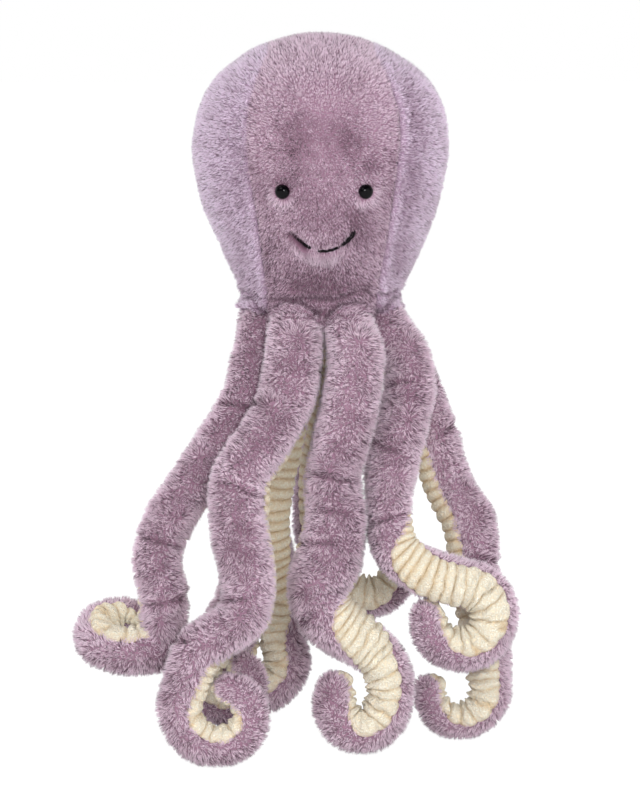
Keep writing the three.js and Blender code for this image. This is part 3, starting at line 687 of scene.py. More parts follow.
dome_height, dome_flatness, eye_sink = 0.36 * eye_size, 2.4, eye_size / 10
shank_size, shank_length = 0.0035, 0.009
eye_look = Look("glossy_black_eye", base_color=srgb(3, 2, 4), specular_ior_level=0.13)
wear = eye_look.noise(eye_look.on_piece(), 900.0)
eye_look.feed("Roughness", 0.03 + wear * 0.03)
slope = math.atan2(head_radius_at(eye_height + eye_size / 2) - head_radius_at(eye_height), eye_size / 2)
for word, side, place in (("left", -1, eye_places[0]), ("right", 1, eye_places[1])):
    bpy.ops.object.select_all(action="DESELECT")
    bpy.ops.mesh.primitive_uv_sphere_add(segments=40, ring_count=24, radius=eye_size / 2)
    eye = bpy.context.active_object
    bpy.ops.object.mode_set(mode="EDIT")
    bpy.ops.mesh.bisect(plane_co=(0, 0, 0), plane_no=(0, 0, 1), clear_inner=True, use_fill=True)
    bpy.ops.mesh.select_all(action="SELECT")
    bpy.ops.transform.resize(value=(1, 1, dome_height / (eye_size / 2)))
    bpy.ops.mesh.select_all(action="DESELECT")
    bpy.ops.mesh.select_mode(type="FACE")
    bpy.ops.object.mode_set(mode="OBJECT")
    for corner in eye.data.vertices:
        if corner.co.z > 0:
            share = corner.co.xy.length / (eye_size / 2)
            corner.co.z = dome_height * math.sqrt(max(0, 1 - share**dome_flatness))
    for face in eye.data.polygons:
        face.select = face.normal.z < -0.9
    bpy.ops.object.mode_set(mode="EDIT")
    bpy.ops.mesh.extrude_region_move(TRANSFORM_OT_translate={"value": (0, 0, -eye_sink)})
    bpy.ops.mesh.inset(thickness=(eye_size - shank_size) / 2, depth=0)
    bpy.ops.mesh.extrude_region_move(TRANSFORM_OT_translate={"value": (0, 0, eye_sink - shank_length)})
    bpy.ops.mesh.select_all(action="SELECT")
    bpy.ops.mesh.normals_make_consistent(inside=False)
    bpy.ops.object.mode_set(mode="OBJECT")
    bpy.ops.object.shade_smooth_by_angle(angle=math.radians(40))
    turn = math.asin(side * eye_across / head_radius_at(eye_height))
    eye.data.transform(Matrix.Translation(head_axis + place) @ Matrix.Rotation(turn, 4, "Z")
                       @ Matrix.Rotation(math.pi / 2 + slope, 4, "X"))
    eye.name = f"eye_{word}_dome"
    eye.data.materials.append(eye_look.material)
    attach(eye, "head")
    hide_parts(f"eye_{word}")

washer_look = Look("washer_nylon", roughness=0.45)
washer_speckle = washer_look.noise(washer_look.on_piece(), 700.0)
washer_look.feed("Base Color", washer_look.mix(washer_speckle, srgb(214, 214, 208), srgb(228, 228, 222)))
for word in ("left", "right"):
    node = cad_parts[f"eye_washer_{word}"]
    node.data.materials.clear()
    node.data.materials.append(washer_look.material)

# The smile
# The smile is one line of thick black thread, sewn tight so that it sinks into the pile. The pile
# closes over part of it, and is brushed down and pale just below.

thread_size, twist_pitch, strand_count, end_taper, thick_end = 0.0021, 0.004, 3, 0.003, 0.75
thread_sunk, thread_raised, thick_end_at = 0.0042, 0.0051, (0.011, 0.0165)
path = spline(smile_line, np.linspace(0, len(smile_line) - 1, 240)) + head_axis
path_across = path[:, 0] - head_axis[0]
path[:, 1] += thread_sunk - thread_raised * np.interp(path_across, *zip(*thread_shown))
ahead = unit(np.gradient(path, axis=0))
out = unit(np.cross(ahead, [0, 0, 1.0]) * -1)
up = np.cross(out, ahead)
travelled = np.concatenate([[0], np.cumsum(np.linalg.norm(np.diff(path, axis=0), axis=1))])
taper = np.clip(np.minimum(travelled, travelled[-1] - travelled) / end_taper, 0.15, 1) ** 0.5
taper *= 1.0 + thick_end * smoothstep(path_across, *thick_end_at)
around = np.linspace(0, 2 * math.pi, 13)[:-1]
turned = around[None] + (travelled / twist_pitch * 2 * math.pi / strand_count)[:, None]
lobes = thread_size / 2 * (0.86 + 0.14 * np.cos(strand_count * around))[None] * taper[:, None]
spokes = np.cos(turned)[..., None] * out[:, None] + np.sin(turned)[..., None] * up[:, None]
rings = path[:, None] + lobes[..., None] * spokes


def tube_faces(rings, sides):
    """Triangles of a closed tube through rings of points, with a fan on each end."""
    i, j = (a.ravel() for a in np.meshgrid(range(rings - 1), range(sides), indexing="ij"))
    a, b = i * sides + j, i * sides + (j + 1) % sides
    walls = np.concatenate([np.stack([a, b, b + sides], 1), np.stack([a, b + sides, a + sides], 1)])
    fan = np.arange(1, sides - 1)
    last = (rings - 1) * sides
    first_end = np.stack([0 * fan, fan + 1, fan], 1)
    last_end = np.stack([last + 0 * fan, last + fan, last + fan + 1], 1)
    return np.concatenate([walls, first_end, last_end])


def closed_tube(name, rings):
    """A mesh tube through rings of points, turned so that its faces point outwards."""
    faces = tube_faces(*rings.shape[:2])
    points = rings.reshape(-1, 3)
    volume = (points[faces[:, 0]] * np.cross(points[faces[:, 1]], points[faces[:, 2]])).sum()
    return mesh_piece(name, points, faces if volume > 0 else faces[:, ::-1])


smile = closed_tube("smile_thread", rings)
thread_look = Look("black_thread", roughness=0.7, specular_ior_level=0.08)
fibres = thread_look.noise(thread_look.on_piece(), 2500.0)
thread_look.feed("Base Color", thread_look.mix(fibres, srgb(6, 4, 6), srgb(26, 20, 24)))
smile.data.materials.append(thread_look.material)
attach(smile, "head")
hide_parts("smile_embroidery")

# The head's filling and base
# White polyester fibre fills the head. A disc of the same plush closes it underneath, where the
# arms are sewn on side by side. The disc is coloured darker than the plush above: painted shade
# under the head.

fibre_look = Look("polyester_fibre", roughness=1.0)
fluff = fibre_look.noise(fibre_look.on_piece(), 160.0, detail=6.0)
fluffy = fibre_look.node("ShaderNodeBump", {}, {"Strength": 0.6, "Distance": 0.002, "Height": fluff})
fibre_look.feed("Base Color", fibre_look.mix(fluff, srgb(226, 224, 218), srgb(246, 245, 242)))
fibre_look.feed("Normal", fluffy)

filling_above_base, filling_inset, pole_radius, crown_depth = 0.006, 0.0052, 0.0004, 0.07
lump_share, filling_wave, filling_sides = 0.006, 0.03, 72
stuffing = profile[::12].copy()
stuffing = stuffing[stuffing[:, 1] > stand_height + filling_above_base]
stuffing[:, 0] = np.maximum(stuffing[:, 0] - filling_inset, pole_radius)
stuffing[:, 1] -= filling_inset * np.clip((stuffing[:, 1] - head_middle[2]) / crown_depth, 0, 1)
turns = np.linspace(0, 2 * math.pi, filling_sides + 1)[:-1]
ball = np.stack([stuffing[:, :1] * np.cos(turns), stuffing[:, :1] * np.sin(turns),
                 np.repeat(stuffing[:, 1:], filling_sides, 1)], -1)
ball[..., :2] *= 1 + lump_share * (drift(ball, filling_wave, 95)[..., None] - 1)
filling = closed_tube("head_stuffing", ball + head_axis)
filling.data.materials.append(fibre_look.material)
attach(filling, "head")
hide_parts("head_filling")

base_hole, base_inset, base_above, base_lumps, base_wave = 0.0015, 0.0045, 0.0005, 0.0006, 0.02
base_pile, base_lean, base_dark, base_shade = 0.005, 0.9, 0.2, 0.34
base_shape = base_rings, base_turns = 20, 91
rings_out = np.linspace(base_hole, neck_radius - base_inset, base_rings)[:, None]
turns = np.linspace(0, 2 * math.pi, base_turns)
disc = np.stack([rings_out * np.cos(turns), rings_out * np.sin(turns), 0 * rings_out * turns], -1)
disc[..., 2] = stand_height + base_above + base_lumps * drift(disc, base_wave, 96)
spokes = np.stack([np.cos(turns) + 0 * rings_out, np.sin(turns) + 0 * rings_out, 0 * rings_out * turns], -1)
base_skin = {"places": disc + head_axis, "normals": np.tile([0.0, 0, -1], (*base_shape, 1)),
             "flow": unit(spokes), "lean": np.full(base_shape, base_lean),
             "length": np.full(base_shape, base_pile), "dark": np.full(base_shape, base_dark),
             "shade": base_shade + 0.1 * drift(disc, base_wave, 97), "pale": np.zeros(base_shape),
             "calm": np.zeros(base_shape)}
base_tufts = dict(head_tufts, per_mm2=0.5)
base = cover_piece("base_plush", base_skin, base_tufts, 31)
# Darker colours than the head's plush: painted shade under the head.
shaded_base_look = plush_look("base_plush_shaded_look", srgb(82, 56, 74), srgb(148, 118, 140), srgb(196, 172, 192))
base.data.materials.append(shaded_base_look)
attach(base, "head")
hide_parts("base_panel")

# The arms
# Each arm is a long stuffed tube, plush outside and ribbed cream fabric inside, closed with a seam
# down each edge. The ribbed strip is cut shorter than the plush, which is what curls the arm, so
# the strip puckers in the curl. The arms are sewn round under the head and bend at their seams.

# Each arm's route is in ring radii across and back and shares of the stand's height, and its curl goes
# on round a centre, from a start angle through a sweep, between two radii counted in arm radii. Tilt and
# look say where the underside faces, in the curl and on the way, and turn_over where it turns.
arms = [
    dict(name="left_front", angle=-67.5, full=1,
         route=[(-1.04, -0.57, 0.871), (-1.16, -0.74, 0.781), (-1.48, -0.92, 0.7), (-1.85, -1.09, 0.617),
                (-2.255, -1.23, 0.53), (-2.465, -1.32, 0.44), (-2.37, -1.4, 0.35)],
         centre=(-2.935, -1.0, 0.269), lean=64, start=-40, sweep=-282, radii=(1.60, 0.85),
         tilt=(40, 35), look=40, turn_over=(3, -2)),
    dict(name="front_left", angle=-22.5, full=1,
         route=[(-0.44, -1.18, 0.876), (-0.55, -1.4, 0.795), (-0.88, -1.66, 0.711), (-1.24, -1.88, 0.632),
                (-1.25, -2.08, 0.521), (-1.12, -2.21, 0.413), (-1.2, -2.28, 0.335), (-1.52, -2.3, 0.298),
                (-1.87, -2.3, 0.26)],
         centre=(-1.525, -2.3, 0), rests=True, start=150, sweep=286, radii=(1.65, 0.93), tilt=(0, 0),
         turn_over=(2.2, -0.8)),
    dict(name="front_right", angle=22.5, full=1,
         route=[(0.48, -1.18, 0.885), (0.4, -1.36, 0.794), (0.26, -1.44, 0.706), (0.13, -1.44, 0.617),
                (0.175, -1.44, 0.527), (0.085, -1.49, 0.449), (-0.07, -1.53, 0.376), (0.05, -1.55, 0.314)],
         centre=(0.51, -1.53, 0), rests=True, start=62, sweep=-256, radii=(1.64, 1.1), stretch=1.14,
         tilt=(60, -15), look=30, way=1, turn_over=(3.2, -0.8)),
    dict(name="right_front", angle=67.5, full=0.97,
         route=[(1.28, -0.57, 0.869), (1.31, -0.72, 0.81), (1.2, -0.88, 0.739), (1.06, -1.01, 0.663),
                (0.99, -1.14, 0.587), (0.99, -1.23, 0.514), (1.10, -1.31, 0.452), (1.58, -1.36, 0.403)],
         centre=(2.06, -1.31, 0.305), start=60, sweep=-244, radii=(1.32, 1.40),
         tilt=(78, -10), look=-55, way=1, turn_over=(3.9, 0.9)),
    dict(name="right_back", angle=112.5, full=1,
         route=[(1.28, 0.44, 0.848), (1.54, 0.42, 0.772), (1.76, 0.31, 0.67), (1.98, 0.18, 0.568),
                (2.29, 0, 0.479), (2.34, -0.16, 0.395), (2.38, -0.32, 0.315), (2.52, -0.48, 0.23)],
         centre=(2.08, -0.59, 0), rests=True, start=12, sweep=-200, radii=(1.33, 1.2), tilt=(44, 0),
         turn_over=(3, 0)),
    dict(name="left_back", angle=-112.5, full=0.9,
         route=[(-1.01, 0.53, 0.841), (-1.12, 0.57, 0.759), (-1.24, 0.57, 0.643), (-1.25, 0.55, 0.528),
                (-1.19, 0.53, 0.411), (-1.24, 0.48, 0.307), (-1.52, 0.44, 0.227)],
         centre=(-1.42, 0.44, 0), rests=True, start=165, sweep=246, radii=(1.27, 0.95), tilt=(10, 0),
         turn_over=(2.2, -0.8)),
    dict(name="back_left", angle=-157.5, full=1,
         route=[(-0.4, 1.08, 0.818), (-0.5, 1.12, 0.722), (-0.63, 1.17, 0.626), (-0.76, 1.22, 0.531),
                (-0.8, 1.3, 0.448), (-0.7, 1.36, 0.365), (-0.5, 1.38, 0.283)],
         centre=(-1.03, 1.36, 0), rests=True, start=32, sweep=-280, radii=(1.6, 0.95), tilt=(20, 0),
         turn_over=(3.6, 0.4)),
    dict(name="back_right", angle=157.5, full=1,
         route=[(0.38, 1.34, 0.825), (0.28, 1.62, 0.728), (0.15, 1.78, 0.63), (0.05, 1.84, 0.533),
                (0.02, 1.84, 0.436)],
         centre=(0.80, 1.78, 0.346), start=185, sweep=190, radii=(1.5, 1.45), tilt=(55, 40),
         turn_over=(3, 0)),
]

# Where an arm is stuffed fuller or thinner: how far along, over what length, and by how much
plump = {
    "left_front": [(0.012, 0.042, -0.0036)],
    "left_back": [(0.012, 0.042, -0.0030)],
    "front_left": [(0.04, 0.05, 0.0022), (0.155, 0.045, 0.0026)],
    "front_right": [(0.04, 0.05, 0.0022), (0.145, 0.055, 0.0034), (0.168, 0.026, 0.0032),
                    (0.214, 0.020, 0.0022), (0.335, 0.030, 0.0015)],
    "right_back": [(0.165, 0.022, 0.0016), (0.205, 0.018, -0.0014), (0.310, 0.045, -0.0018)],
    "right_front": [(0.085, 0.035, 0.0020), (0.140, 0.020, -0.0014), (0.270, 0.060, 0.0014)],
    "back_right": [(0.110, 0.045, 0.0020)],
}

# Where a ribbed strip is cut narrower on one side, how thick its ribs are left inside a tight curl, and
# where the strip is padded out
trims = {"right_back": (0.06, 0.18, math.radians(18)), "front_right": (0.02, 0.17, math.radians(13))}
open_curls = {"front_left": 0.55}
full_strips = {"front_left": (0.075, 0.130, 0.0024)}
taper_shares = [(0, 0.97), (0.06, 1), (0.62, 0.96), (0.75, 0.88), (0.87, 0.81), (0.95, 0.73), (1, 0.64)]
root_height = stand_height - seam_gap - root_radius
curl_steps, fine_steps, ring_pitch, full_from_root = 10, 60, 0.0009, 0.03


def hinge_of(arm):
    """The middle of the seam that an arm swings on."""
    turn = math.radians(arm["angle"])
    return np.array([math.sin(turn) * ring_radius, -math.cos(turn) * ring_radius, root_height])


def turned_about(vectors, axes, angles):
    """Each vector turned about its own axis."""
    along, aside = np.cos(angles)[:, None], np.sin(angles)[:, None]
    dot = (vectors * axes).sum(-1, keepdims=True)
    return vectors * along + np.cross(axes, vectors) * aside + axes * dot * (1 - along)


def arm_course(arm, centre_height):
    """The arm's middle line in fine steps: place, direction, where the underside looks, and radius."""
    lean = math.radians(arm.get("lean", 0))
    curl_axis = np.array([0, -math.cos(lean), math.sin(lean)])
    wide = np.array([1.0, 0, 0])
    tall = np.cross(curl_axis, wide)
    across, back, rise = arm["centre"]
    centre = np.array([across * ring_radius, back * ring_radius,
                       centre_height if arm.get("rests") else rise * stand_height])
    share = np.linspace(0, 1, curl_steps + 1)
    angle = np.radians(arm["start"] + arm["sweep"] * share)
    radius = arm_radius * (arm["radii"][0] + (arm["radii"][1] - arm["radii"][0]) * share)
    stretch = arm.get("stretch", 1)
    curl = (centre + (radius * np.cos(angle) / stretch)[:, None] * wide
            + (radius * np.sin(angle) * stretch)[:, None] * tall)
    route = np.array(arm["route"]) * [ring_radius, ring_radius, stand_height]
    controls = np.vstack([hinge_of(arm), route, curl])
    last, curl_start = len(controls) - 1, len(route) + 1

    stations = np.linspace(0, last, fine_steps * last)
    line = spline(controls, stations)
    length = np.concatenate([[0], np.cumsum(np.linalg.norm(np.diff(line, axis=0), axis=1))])
    even = np.linspace(0, length[-1], int(length[-1] / ring_pitch))
    stations = np.interp(even, length, stations)
    place = spline(controls, stations)
    ahead = unit(np.gradient(place, axis=0))

    look = math.radians(arm.get("look", 0))
    spun = unit(np.stack([-place[:, 0], -place[:, 1], 0 * place[:, 0]], 1))
    at_axis = np.stack([spun[:, 0] * math.cos(look) - spun[:, 1] * math.sin(look),
                        spun[:, 0] * math.sin(look) + spun[:, 1] * math.cos(look), spun[:, 2]], 1)
    into = np.maximum(0, (stations - curl_start) / (last - curl_start))
    tilt = np.radians(arm["tilt"][0] + (arm["tilt"][1] - arm["tilt"][0]) * into)[:, None]
    inward = centre - place
    inward = unit(inward - (inward @ curl_axis)[:, None] * curl_axis)
    in_curl = inward * np.cos(tilt) + curl_axis * np.sin(tilt)

    normals = np.empty_like(place)
    carried = at_axis[0]
    for k, forward in enumerate(ahead):
        carried = carried - forward * (carried @ forward)
        carried = normals[k] = carried / np.linalg.norm(carried)
    quarter = np.cross(ahead, normals)
    route_angle, curl_angle = (np.unwrap(np.arctan2((target * quarter).sum(1), (target * normals).sum(1)))
                               for target in (at_axis, in_curl))
    fade = smoothstep(stations, curl_start - arm["turn_over"][0], curl_start - arm["turn_over"][1])
    middle = int(np.argmax(fade > 0.5))
    lag = (route_angle[middle] - curl_angle[middle]) / (2 * math.pi)
    turns = math.ceil(lag) if arm.get("way") else round(lag)
    roll = route_angle + (curl_angle + 2 * math.pi * turns - route_angle) * fade
    under = turned_about(normals, ahead, roll)
    along = even / even[-1]
    full = 1 + (arm["full"] - 1) * smoothstep(even, 0, full_from_root)
    radius = arm_radius * np.interp(along, *zip(*taper_shares)) * full
    for at, wide, more in plump.get(arm["name"], []):
        radius += more * bell(even - at, wide)
    return dict(place=place, ahead=ahead, under=under, side=np.cross(ahead, under), radius=radius, gone=even,
                curl_from=np.interp(curl_start, stations, even))


def resting_height(arm):
    """The height of a curl's centre at which the arm's lowest point touches the floor."""
    height = 0
    for _ in range(4):
        course = arm_course(arm, height)
        lowest = (course["place"][:, 2] - course["radius"] * np.sqrt(1 - course["ahead"][:, 2] ** 2)).min()
        height -= lowest
    return height


def every(step, course):
    """The course with only one ring in so many."""
    keep = np.arange(0, len(course["gone"]), step)
    return {key: value[keep] if np.ndim(value) else value for key, value in course.items()}


def with_round_ends(course, inset, cap_steps):
    """The rings of one surface of the arm at a depth, closed over its two ends."""
    angles = np.radians(np.linspace(86, 10, cap_steps))
    radius = course["radius"] - inset

    def cap(k, way, angle):
        ring = {key: np.repeat(course[key][k][None], len(angle), 0) for key in ("ahead", "under", "side")}
        ring["place"] = course["place"][k] + way * radius[k] * np.sin(angle)[:, None] * course["ahead"][k]
        ring["radius"] = radius[k] * np.cos(angle)
        ring["gone"] = course["gone"][k] + way * radius[k] * np.sin(angle)
        return ring

    head, tail = cap(0, -1, angles), cap(-1, 1, angles[::-1])
    body = dict(course, radius=radius)
    return {key: np.concatenate([head[key], body[key], tail[key]]) for key in head}


def strip(rings, from_angle, to_angle, columns, lift=0):
    """Points on the rings between two angles, counted from where the underside looks."""
    share = np.linspace(0, 1, columns)
    angle = from_angle[:, None] + (to_angle - from_angle)[:, None] * share
    radius = rings["radius"][:, None] + lift
    return (rings["place"][:, None] + (radius * np.cos(angle))[..., None] * rings["under"][:, None]
            + (radius * np.sin(angle))[..., None] * rings["side"][:, None]), angle


arm_inset, arm_pile, arm_lean, arm_shade, arm_dark = 0.0026, 0.0050, 0.42, 0.62, 0.16
arm_lump, arm_lump_wave, under_head_shade_from, under_head_shade_to, thinnest = 0.0005, 0.03, 0.010, 0.015, 0.004
crease_reach, crease_sides, whorl_reach, whorl_dark_reach = 0.0017, 0.006, 0.010, 0.005
plush_half, least_off, thin_tip = math.pi - 1.15, 0.0005, (0.006, 0.014)
arm_shade_wave, arm_lock_wave, arm_dark_wave = 0.05, 0.014, 0.008
arm_tufts = {"per_mm2": 1.27, "width": 0.00035, "swirl": 65, "swirl_wave": 0.015, "stray": 0.8,
             "lock": 11, "pull": 0.6, "lock_shade": 0.032, "hair_shade": 0.032, "floor": 0.0002}

# Folds across an arm where it bends: how far along, where round it, how far it reaches, how deep
# it is, and how much it slants. Whorls, where the pile parts and shows its roots, follow them.
folds = {
    "left_front": [(0.063, 0.0, 0.6, 0.0022, 0.004), (0.168, -0.1, 0.9, 0.0014, 0),
                   (0.208, 0.0, 1.1, 0.0028, 0.003)],
    "front_left": [(0.066, 0.45, 0.5, 0.0030, -0.002), (0.127, -0.45, 0.7, 0.0030, -0.008),
                   (0.201, 0.25, 0.6, 0.0030, 0.004), (0.250, 0.3, 0.5, 0.0018, 0.003)],
    "front_right": [(0.105, 0.2, 0.62, 0.0034, -0.002), (0.128, 0.3, 0.45, 0.0018, -0.006),
                    (0.155, 0.65, 0.5, 0.0028, 0.006), (0.199, -0.1, 0.6, 0.0018, 0)],
    "right_front": [(0.052, 0.4, 0.6, 0.0024, 0.004), (0.095, 0.35, 0.6, 0.0022, -0.005),
                    (0.143, -0.3, 0.7, 0.0022, 0.004)],
    "right_back": [(0.090, 0.2, 0.6, 0.0020, 0.004), (0.186, 0.35, 0.7, 0.0030, -0.004)],
    "left_back": [(0.085, -0.2, 0.7, 0.0022, 0.004), (0.205, 0.3, 0.7, 0.0026, -0.004)],
    "back_left": [(0.075, 0.3, 0.7, 0.0022, -0.004), (0.165, -0.3, 0.7, 0.0026, 0.004)],
    "back_right": [(0.070, -0.3, 0.7, 0.0024, 0.004), (0.150, 0.2, 0.8, 0.0022, -0.004)],
}
whorls = {
    "left_front": [(0.106, 0.2), (0.150, -0.3), (0.222, 0.3)],
    "front_left": [(0.014, -0.22), (0.066, 0.1), (0.165, 0.2), (0.212, -0.1)],
    "front_right": [(0.019, 0.3), (0.101, 0.4), (0.150, -0.2), (0.186, 0.2)],
    "right_front": [(0.026, -0.2), (0.075, -0.1), (0.118, -0.4), (0.163, 0.2)],
    "right_back": [(0.060, 0.2), (0.140, 0.3)],
    "left_back": [(0.050, -0.3), (0.130, 0.4)],
    "back_left": [(0.040, 0.1), (0.120, 0.3)],
    "back_right": [(0.050, 0.2), (0.120, -0.3)],
}

# The ribbed fabric is cream and looped like towelling. Down between the ribs and towards the strip's
# edges it is darkened to tan: painted shade.
cream_look = Look("ribbed_cream", roughness=0.95, sheen_weight=0.3, sheen_roughness=0.4,
                  specular_ior_level=0.1)
place_on = cream_look.on_piece()
loops = cream_look.node("ShaderNodeTexVoronoi", {"feature": "F1"}, {
    "Vector": place_on, "Scale": 620.0, "Randomness": 1.0})
fuzz = cream_look.noise(place_on, 900.0, detail=3.0, roughness=0.7)
nap = cream_look.node("ShaderNodeMapRange", {}, {
    "Value": fuzz * 0.9 - loops * 0.5, "From Min": 0.02, "From Max": 0.40, "To Min": 0.0, "To Max": 1.0})
patch = cream_look.noise(place_on, 60.0, detail=2.0)
cream = cream_look.mix(nap, srgb(242, 228, 204), srgb(255, 253, 242))
cream = cream_look.mix(patch * 0.3, cream, srgb(250, 236, 208))
depth = cream_look.node("ShaderNodeAttribute", {"attribute_name": "rib"}, out=2)
rib_shade_stops = [(0, srgb(186, 156, 122)), (0.35, srgb(234, 217, 192)), (1, srgb(255, 254, 250))]
rib_shade = cream_look.node("ShaderNodeValToRGB", {"stops": rib_shade_stops}, {0: depth})
napped = cream_look.node("ShaderNodeBump", {}, {"Strength": 1.0, "Distance": 0.0011, "Height": nap})
cream_look.feed("Base Color", cream_look.mix(1.0, rib_shade, cream, "MULTIPLY"))
cream_look.feed("Normal", napped)

rib_pitch, puckered_pitch, rib_height, rib_inset = 0.0078, 0.0074, 0.0031, 0.0018
wide_half, narrow_half, root_narrowing = math.radians(66), math.radians(20), math.radians(26)
scalloped, curl_thinning, strip_backing, rib_flatness = (0.0018, 0.0028), 0.0020, 0.0012, 0.97
root_widening, tip_narrowing, pucker_lead, pucker_full = (0.05, 0.11), 0.045, 0.045, 0.01
sway_wave, rib_sway_wave, rib_slant_wave, rib_swell_wave = 0.03, 0.011, 0.02, 0.008
core_inset, core_sides = 0.0064, 16


def between(gone, start, end, soft=0.02):
    """1 between two places along an arm, and 0 beyond a soft edge."""
    return smoothstep(gone, start - soft, start + soft) * (1 - smoothstep(gone, end - soft, end + soft))


def strip_edges(name, gone, whole):
    """The strip's two edges round the arm: narrower under the head, and running out at the tip."""
    half = wide_half - root_narrowing * (1 - smoothstep(gone, *root_widening))
    half = half + (narrow_half - half) * smoothstep(gone, whole - tip_narrowing, whole)
    start, end, trim = trims.get(name, (0, 1, 0))
    return -half + trim * between(gone, start, end), half


